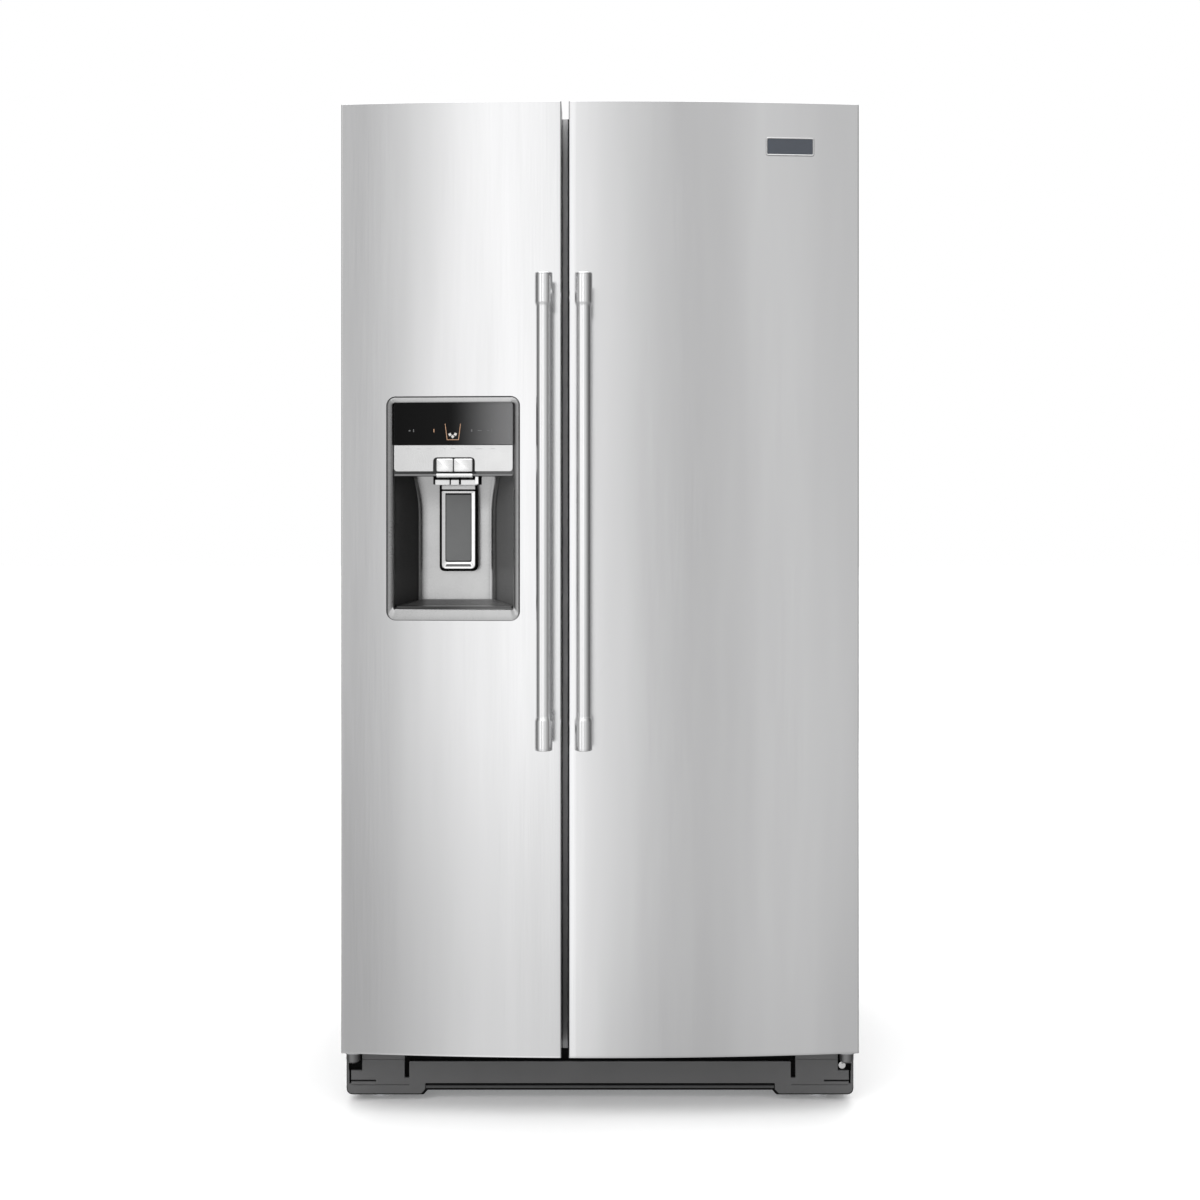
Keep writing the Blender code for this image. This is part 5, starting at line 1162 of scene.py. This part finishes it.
# ---------------------------------------------------------------- base
def base_grille():
    """Dark kick plate: a low panel between two corner blocks, on a black plate that paints its shadow lines."""
    low, high = LOW["base_grille"], HIGH["base_grille"]
    edge, foot, front = 0.4520, 0.0148, low.y + 0.0012
    slot_x, slot_low, centre_top, centre_low, block_end = (0.3410, 0.3494), 0.0433, 0.0723, 0.0333, 0.3126
    right = [
        (block_end, centre_low), (block_end, 0.0222), (
            block_end + 0.0071, foot
        ), (edge, foot), (edge, high.z),
        (slot_x[1], high.z), (slot_x[1], slot_low), (slot_x[0], slot_low), (slot_x[0], centre_top),
    ]
    radii = [0.0015, 0.003, 0.003, 0.011, 0, 0.001, 0.001, 0.001, 0.002]
    outline = rounded(right + [(-x, z) for x, z in reversed(right)], radii + radii[::-1], 5)
    grille = prism("kick_plate", outline, "Y", front, front + 0.0060, "dark_plastic")

    def slit(name, side, a, b, z_range, depth):
        x = sorted((side * a, side * b))
        cut(
            grille,
            box(f"{name}_{side}", (x[0], front - 0.01, z_range[0]), (x[1], front + depth, z_range[1]))
        )

    for side in (-1, 1):
        slit("knuckle_space", side, 0.4492, 0.4251, (0.0562, 0.1100), 0.02)
        slit("upright_slit", side, 0.4482, 0.4448, (0.0326, 0.0600), 0.02)
        slit("level_slit", side, 0.4482, 0.4004, (0.0364, 0.0394), 0.02)
        slit("groove", side, 0.4440, slot_x[0], (0.0300, 0.0310), 0.0016)
        slit("step", side, 0.4251, slot_x[1] + 0.002, (0.0755, 0.0765), 0.0008)
    place(settle(grille, 0.0006), "cabinet", "dark_plastic", "base_grille")
    # the lip's colour is darker than the panel's: painted shade on its downward face
    lip_low, lip_high = (
        -block_end + 0.001, front + 0.0006, 0.0240
    ), (block_end - 0.001, front + 0.0090, 0.0290)
    place(box("kick_lip", lip_low, lip_high, "kick_lip_painted_shade", soft=0.0010), "cabinet", "dark_plastic")
    shadow = [(block_end - 0.004, 0.0192), (block_end + 0.0034, foot - 0.0038), (0.4540, foot - 0.0038)]
    shadow += [(0.4540, high.z - 0.0004)]
    shadow_radii = [0.002, 0.003, 0.012, 0]
    shadow_outline = rounded(
        shadow + [(-x, z) for x, z in reversed(shadow)], shadow_radii + shadow_radii[::-1], 5
    )
    # black plate: painted shadow lines round and under the kick plate
    shadow_plate = prism("kick_shadow_plate", shadow_outline, "Y", front + 0.0062, high.y - 0.0004, "painted_shadow_black")
    place(shadow_plate, "cabinet", "dark_plastic")


KNUCKLE_PROFILE = (
    (0, 0.0706), (0.006, 0.0708), (0.0098, 0.0722), (0.0122, 0.0750), (0.0126, 0.0790), (0.0126, 0.0958), (0, 0.0958),
)


def bottom_hinges():
    """Bracket, pin and knuckle under each door, and the bolt seen at the right one."""
    for side, label in ((-1, "left"), (1, "right")):
        node = f"bottom_hinge_{label}"
        x, y = pin_place(side)
        low, high = LOW[node], HIGH[node]
        plate_z = (0.0965, 0.1005)
        outline = rounded(rectangle((low.x, high.x), (low.y, CASE_Y - 0.0004)), [0.010, 0.010, 0, 0], 6)
        plate = prism(f"lower_hinge_{label}", outline, "Z", *plate_z, "galvanised", soft=0.0006)
        web = rounded(
            rectangle((x - 0.009, x + 0.009), (0.076, plate_z[1] - 0.001)), [0.006, 0.006, 0, 0], 6
        )
        join(plate, prism(f"hinge_web_{label}", web, "Y", CASE_Y - 0.0040, CASE_Y - 0.0006, soft=0.0006))
        join(plate, rod(f"hinge_collar_{label}", (x, y), "Z", 0.0995, 0.1040, 0.009, soft=0.0005))
        join(plate, rod(f"hinge_pin_{label}", (x, y), "Z", 0.0995, high.z, 0.005, soft=0.0005))
        place(settle(plate), "cabinet", "bare_steel", node)
        centre = (x + side * 0.0085, CASE_Y - 0.0140, 0)
        knuckle = turned(f"hinge_knuckle_{label}", KNUCKLE_PROFILE, "grey_metal", 40, centre)
        place(knuckle, "cabinet", "bare_steel")
    bolt_seat = (pin_place(1)[0] + 0.0010, LOW["base_grille"].y + 0.0038, 0.0650)
    place(screw_heads("hinge_bolt", [bolt_seat], (0, -1, 0), 0.0042, "chrome"), "cabinet", "bare_steel")


# ---------------------------------------------------------------- inside
def shelf(node):
    """Glass pane held by a moulded front trim, side rails and a rear rail."""
    low, high = LOW[node], HIGH[node]
    pane_z = (high.z - 0.0060, high.z - 0.0020)
    rim, rail_z, play = 0.010, high.z - 0.0098, 0.0005
    pane_low, pane_high = (low.x + 0.004, low.y + 0.006, pane_z[0]), (
        high.x - 0.004, high.y - 0.004, pane_z[1]
    )
    pane = box(f"{node}_pane", pane_low, pane_high, "shelf_glass", soft=0.0008)
    place(pane, "cabinet", "shelf_glass", node)
    front = [(low.y + 0.004, low.z), (low.y + 0.014, low.z + 0.004), (low.y + 0.018, high.z)]
    front += [(low.y + 0.003, high.z), (low.y, high.z - 0.004), (low.y, low.z + 0.006)]
    trim = prism(
        f"{node}_trim", rounded(front, 0.003, 3), "X", low.x, high.x, "white_plastic", soft=0.0008
    )
    for number, (a, b) in enumerate(((low.x, low.x + rim), (high.x - rim, high.x))):
        join(
            trim,
            box(f"{node}_rail_{number}", (a, low.y + 0.010, rail_z), (b, high.y, high.z), soft=0.0015)
        )
    rear_low, rear_high = (low.x, high.y - 0.010, rail_z), (high.x, high.y, high.z + 0.006)
    join(trim, box(f"{node}_rear_rail", rear_low, rear_high, soft=0.0015))
    groove_low = (pane_low[0] - play, pane_low[1] - play, pane_z[0] - 0.0002)
    cut(
        trim,
        box(f"{node}_groove", groove_low, (pane_high[0] + play, pane_high[1] + play, pane_z[1] + 0.0002))
    )
    place(settle(trim), "cabinet", "white_plastic")


def basin(name, top, bottom, z_range, wall, look, corner=0.018, fillet=0.010):
    """Open moulded box with rounded corners and a rolled rim. top and bottom are ((x0, x1), (y0, y1)) outside."""
    low, high = z_range
    rings = []

    def ring(share, inset, z):
        (tx, ty), (bx, by) = top, bottom
        x_range = [bx[k] + (tx[k] - bx[k]) * share + (inset if k == 0 else -inset) for k in (0, 1)]
        y_range = [by[k] + (ty[k] - by[k]) * share + (inset if k == 0 else -inset) for k in (0, 1)]
        radius = max(corner - inset * 0.6, 0.003)
        rings.append([(x, y, z) for x, y in rounded(rectangle(x_range, y_range), radius, 6)])

    turns = [math.pi / 2 * i / 4 for i in range(5)]
    for t in turns:
        ring(0.0, fillet * (1 - math.sin(t)), low + fillet * (1 - math.cos(t)))
    ring(0.98, 0.0, high - 0.0050)
    ring(1.0, -0.0012, high - 0.0036)
    ring(1.0, -0.0012, high - 0.0006)
    ring(1.0, -0.0004, high)
    ring(1.0, wall - 0.0006, high)
    ring(1.0, wall, high - 0.0010)
    for t in reversed(turns):
        ring(0.0, wall + fillet * (1 - math.sin(t)), low + wall + fillet * (1 - math.cos(t)))
    return loft(name, rings, look)


def drawer(node):
    """Clear drawer with a taller front and a moulded pull rail along its top edge."""
    low, high = LOW[node], HIGH[node]
    trim_tall, body_low_y = 0.030, low.y + 0.016
    top = ((low.x + 0.0014, high.x - 0.0014), (body_low_y, high.y - 0.0014))
    bottom = ((low.x + 0.005, high.x - 0.005), (body_low_y, high.y - 0.010))
    place(
        basin(f"{node}_body", top, bottom, (low.z, high.z - 0.012), 0.0028, "clear_plastic"), node,
        "clear_plastic", node
    )
    face = [(low.y + 0.014, low.z + 0.001), (low.y + 0.0165, low.z + 0.001), (low.y + 0.0165, high.z)]
    face += [(low.y + 0.0140, high.z), (low.y + 0.0100, high.z - 0.060)]
    face = rounded(face, [0.001, 0, 0.001, 0.001, 0.05], 5)
    panel = prism(f"{node}_face", face, "X", low.x, high.x, "clear_plastic", soft=0.0008)
    place(panel, node, "clear_plastic")
    lip_z = high.z - trim_tall + 0.006
    pull = [
        (low.y + 0.0136, high.z - 0.002), (low.y + 0.006, high.z), (low.y, high.z - 0.006), (low.y, lip_z)
    ]
    pull += [(low.y + 0.003, lip_z), (low.y + 0.004, high.z - 0.008), (low.y + 0.0136, high.z - 0.006)]
    pull = rounded(pull, [0, 0.006, 0.005, 0.001, 0.001, 0.004, 0], 4)
    rail = prism(f"{node}_pull", pull, "X", low.x + 0.001, high.x - 0.001, "frosted_trim", soft=0.0006)
    place(rail, node, "white_plastic")


def door_bin(node, body, name):
    """Clear door bin with a white front rail."""
    low, high = LOW[node], HIGH[node]
    top = ((low.x + 0.0014, high.x - 0.0014), (low.y + 0.0004, high.y - 0.0014))
    bottom = ((low.x + 0.004, high.x - 0.004), (low.y + 0.0006, high.y - 0.012))
    tray = basin(name, top, bottom, (low.z, high.z), 0.0028, "clear_plastic", 0.012, 0.008)
    place(tray, body, "clear_plastic", node)
    tall = min(0.016, (high.z - low.z) * 0.3)
    rail_low = (low.x + 0.014, high.y - 0.0012, high.z - tall - 0.004)
    rail_high = (high.x - 0.014, high.y + 0.0018, high.z - 0.004)
    place(box(f"{name}_rail", rail_low, rail_high, "frosted_trim", soft=0.0010), body, "white_plastic")


def dairy_lid():
    """Curved flip lid of the dairy compartment."""
    low, high = LOW["dairy_lid"], HIGH["dairy_lid"]
    bend, sheet = 0.030, 0.0026

    def path(inset):
        corner_y, corner_z = high.y - bend, high.z - 0.016 - bend
        points = [(low.y + 0.001, high.z - inset), (low.y + 0.020, high.z - inset)]
        for i in range(9):
            t = math.pi / 2 * (1 - i / 8)
            points.append(
                (corner_y + (bend - inset) * math.cos(t), corner_z + (bend - inset) * math.sin(t))
            )
        return points + [(high.y - inset, low.z)]

    lid = prism(
        "dairy_cover", path(0.0) + path(sheet)[::-1], "X", low.x, high.x, "clear_plastic", soft=0.0008
    )
    place(lid, "dairy_lid", "clear_plastic", "dairy_lid")
    grip_low, grip_high = (low.x + 0.05, high.y - 0.0006, low.z + 0.004), (
        high.x - 0.05, high.y + 0.0032, low.z + 0.010
    )
    place(
        box("dairy_grip", grip_low, grip_high, "frosted_trim", soft=0.0012), "dairy_lid", "white_plastic"
    )


def control_housing():
    """Lamp and temperature control under the fresh food ceiling, with a glowing lens and two dials."""
    node = "control_housing"
    low, high = LOW[node], HIGH[node]
    side = [
        (low.y, high.z), (low.y, low.z + 0.022), (low.y + 0.022, low.z), (high.y, low.z), (high.y, high.z)
    ]
    side = rounded(side, [0, 0.012, 0.012, 0.010, 0], 5)
    shell = prism("control_shell", side, "X", low.x, high.x, "white_plastic", soft=0.004)
    place(shell, "cabinet", "white_plastic", node)
    lens_low, lens_high = (low.x + 0.03, low.y + 0.060, low.z - 0.0022), (
        high.x - 0.03, high.y - 0.030, low.z + 0.002
    )
    place(box("lamp_lens", lens_low, lens_high, "lamp_lens", soft=0.0015), "cabinet", "white_plastic")
    dial = [(0, 0), (0.015, 0), (0.016, 0.001), (0.0145, 0.009), (0.0135, 0.010), (0, 0.010)]
    to_front = Matrix.Rotation(math.pi / 2, 4, "X")
    for number, x in enumerate((low.x + 0.085, high.x - 0.085)):
        centre = (x, low.y + 0.0010, low.z + 0.036)
        knob = turned(f"control_dial_{number}", dial, "bright_silver", 40, centre, to_front)
        place(knob, "cabinet", "silver_plastic")


def build_inside():
    shelf_back = HIGH["fridge_shelf_upper"].y
    freezer_back = HIGH["freezer_shelf_upper"].y
    drawer_back = HIGH["crisper_drawer"].y
    liner("freezer", [(0.640, freezer_back), (0.960, freezer_back), (0.185, drawer_back)])
    liner("fridge", [(z, shelf_back) for z in (0.610, 0.930, 1.260, 0.398)] + [(0.185, drawer_back)])
    shelves = (
        "fridge_shelf_upper", "fridge_shelf_lower", "crisper_cover", "freezer_shelf_upper",
        "freezer_shelf_lower"
    )
    for node in shelves:
        shelf(node)
    for node in ("crisper_drawer", "deli_drawer", "freezer_basket"):
        drawer(node)
    door_bin("fridge_door_bin", "fridge_door", "tall_bin")
    door_bin("dairy_bin", "fridge_door", "dairy_tray")
    door_bin("freezer_door_bin", "freezer_door", "frozen_bin")
    door_bin("ice_bin", "freezer_door", "ice_bucket")
    dairy_lid()
    control_housing()


CARRIED = {
    # node: look, width of its rounded edges
    "foam_insulation": ("foam", 0.0),
    "base_frame": ("galvanised", 0.0006),
    "compressor": ("black_paint", 0.0010),
    "condenser_coil": ("copper", 0.0),
    "evaporator_coil": ("galvanised", 0.0),
    "evaporator_cover": ("white_plastic", 0.0010),
    "ice_maker": ("galvanised", 0.0008),
    "top_hinge_left": ("galvanised", 0.0005),
    "top_hinge_right": ("galvanised", 0.0005),
    "front_roller_left": ("dark_plastic", 0.0015),
    "front_roller_right": ("dark_plastic", 0.0015),
    "rear_roller_left": ("dark_plastic", 0.0015),
    "rear_roller_right": ("dark_plastic", 0.0015),
    "leveling_foot_left": ("galvanised", 0.0006),
    "leveling_foot_right": ("galvanised", 0.0006),
    "condenser_fan": ("black_plastic", 0.0005),
    "evaporator_fan": ("white_plastic", 0.0005),
}


# ---------------------------------------------------------------- stage
FRAME_CENTRE_Z = 0.900  # height on the door fronts that the camera frames in its middle
CAMERA_DISTANCE = 2.8
LENS = 47.9
SENSOR = 36.0
SHIFT = -0.070  # the camera looks level, from a little over the middle of its frame
# Brightness of the studio by direction: (degrees from straight ahead of the doors, towards +X, brightness)
STUDIO_ROUND = (
    (-180, 0.55), (-150, 0.70), (-125, 0.18), (-95, 0.14), (-78, 0.28), (-62, 0.62), (-50, 1.05), (-40, 1.45), (-31, 1.15),
    (-22, 0.64), (-18.5, 0.63), (-15.5, 1.10), (-12.5, 1.42), (-9, 1.46), (-6, 1.68), (-3.5, 1.52), (-1, 1.23), (1, 1.00),
    (3, 0.80), (7, 0.65), (11, 0.74), (15.7, 1.00), (19, 0.76), (24, 0.80), (42, 0.50), (59, 0.34), (76, 0.18), (98, 0.09),
    (125, 0.15), (150, 0.70), (180, 0.55),
)
# Share of that pattern by height, the rest is an even grey: (degrees above the horizon, share)
STUDIO_UP = (
    (-90, 0.50), (-25, 0.52), (-17.6, 0.57), (-13.8, 0.66), (-10.2, 0.78), (-6.6, 0.92), (-2, 0.98), (2, 1.0), (90, 1.0),
)
STUDIO_GREY = 0.39
# Brightness of the studio ceiling by height, added to the rest
CEILING = ((-90, 0.0), (30, 0.0), (45, 0.6), (60, 1.6), (90, 1.9))


def curve_through(nodes, links, value, points, low, high):
    """A smooth curve through (angle, brightness) points, read at an angle in radians."""
    scale = nodes.new("ShaderNodeMapRange")
    scale.inputs["From Min"].default_value = math.radians(low)
    scale.inputs["From Max"].default_value = math.radians(high)
    links.new(value, scale.inputs["Value"])
    ramp = nodes.new("ShaderNodeValToRGB")
    ramp.color_ramp.interpolation = "EASE"
    brightest = max(b for _, b in points)
    stops = ramp.color_ramp.elements
    for number, (angle, brightness) in enumerate(points):
        share = (angle - low) / (high - low)
        stop = stops[number] if number < 2 else stops.new(share)
        stop.position = share
        grey = brightness / brightest
        stop.color = (grey, grey, grey, 1.0)
    links.new(scale.outputs["Result"], ramp.inputs["Fac"])
    return ramp.outputs["Color"], brightest


def studio():
    """Soft studio round the object: white where the camera looks, shaded for light and reflections."""
    world = bpy.data.worlds.new("studio")
    bpy.context.scene.world = world
    world.use_nodes = True
    nodes, links = world.node_tree.nodes, world.node_tree.links
    where = nodes.new("ShaderNodeTexCoord")
    split = nodes.new("ShaderNodeSeparateXYZ")
    links.new(where.outputs["Generated"], split.inputs["Vector"])

    def maths(operation, *values):
        node = nodes.new("ShaderNodeMath")
        node.operation = operation
        for socket, value in zip(node.inputs, values):
            if isinstance(value, (int, float)):
                socket.default_value = value
            else:
                links.new(value, socket)
        return node.outputs["Value"]

    ahead = maths("MULTIPLY", split.outputs["Y"], -1.0)
    around = maths("ARCTAN2", split.outputs["X"], ahead)
    up = maths("ARCSINE", split.outputs["Z"])
    colour, brightest = curve_through(nodes, links, around, STUDIO_ROUND, -180, 180)
    share, most = curve_through(nodes, links, up, STUDIO_UP, -90, 90)
    ceiling, top = curve_through(nodes, links, up, CEILING, -90, 90)
    pattern = maths("MULTIPLY_ADD", colour, brightest, -STUDIO_GREY)
    walls = maths("MULTIPLY_ADD", pattern, maths("MULTIPLY", share, most), STUDIO_GREY)
    strength = maths("MULTIPLY_ADD", ceiling, top, walls)
    shaded, plain = nodes["Background"], nodes.new("ShaderNodeBackground")
    shaded.inputs["Color"].default_value = (1.0, 1.0, 1.0, 1.0)
    plain.inputs["Color"].default_value = (1.0, 1.0, 1.0, 1.0)
    links.new(strength, shaded.inputs["Strength"])
    path, mix = nodes.new("ShaderNodeLightPath"), nodes.new("ShaderNodeMixShader")
    links.new(path.outputs["Is Camera Ray"], mix.inputs["Fac"])
    links.new(shaded.outputs["Background"], mix.inputs[1])
    links.new(plain.outputs["Background"], mix.inputs[2])
    links.new(mix.outputs["Shader"], nodes["World Output"].inputs["Surface"])


def lamp(name, where, target, size, power):
    """A softbox that points at a target and isn't seen in reflections."""
    data = bpy.data.lights.new(name, "AREA")
    data.shape = "RECTANGLE"
    data.size, data.size_y = size
    data.energy = power
    obj = bpy.data.objects.new(name, data)
    bpy.context.scene.collection.objects.link(obj)
    obj.location = where
    obj.rotation_euler = (Vector(target) - Vector(where)).to_track_quat("-Z", "Y").to_euler()
    obj.visible_camera = False
    obj.visible_glossy = False


def stage():
    studio()
    lamp("key_light", (-2.2, -3.2, 2.6), (-0.1, -0.3, 0.9), (1.4, 1.8), 26)
    lamp("back_light", (1.2, 4.0, 2.4), (0.0, 0.4, 0.9), (2.4, 2.4), 60)
    outline = [(-30.0, -30.0), (30.0, -30.0), (30.0, 30.0), (-30.0, 30.0)]
    floor = prism("studio_floor", outline, "Z", -0.02, 0.0, "floor")
    floor.visible_glossy = False
    data = bpy.data.cameras.new("camera")
    data.lens, data.sensor_width, data.shift_y = LENS, SENSOR, SHIFT
    camera = bpy.data.objects.new("camera", data)
    bpy.context.scene.collection.objects.link(camera)
    rise = -SHIFT * SENSOR / LENS * CAMERA_DISTANCE
    camera.location = (0.0, EDGE_Y - CAMERA_DISTANCE, FRAME_CENTRE_Z + rise)
    camera.rotation_euler = (math.pi / 2, 0.0, 0.0)
    bpy.context.scene.camera = camera
    bpy.context.scene.view_settings.view_transform = "Standard"


def main():
    build_door("freezer")
    build_door("fridge")
    name_plate()
    build_dispenser()
    case()
    gap_rail()
    back_panel()
    machine_cover()
    hinge_covers()
    base_grille()
    bottom_hinges()
    build_inside()
    for node, (look, soft) in CARRIED.items():
        carry_over(node, look, soft)
    stage()
    bpy.context.view_layer.update()


main()
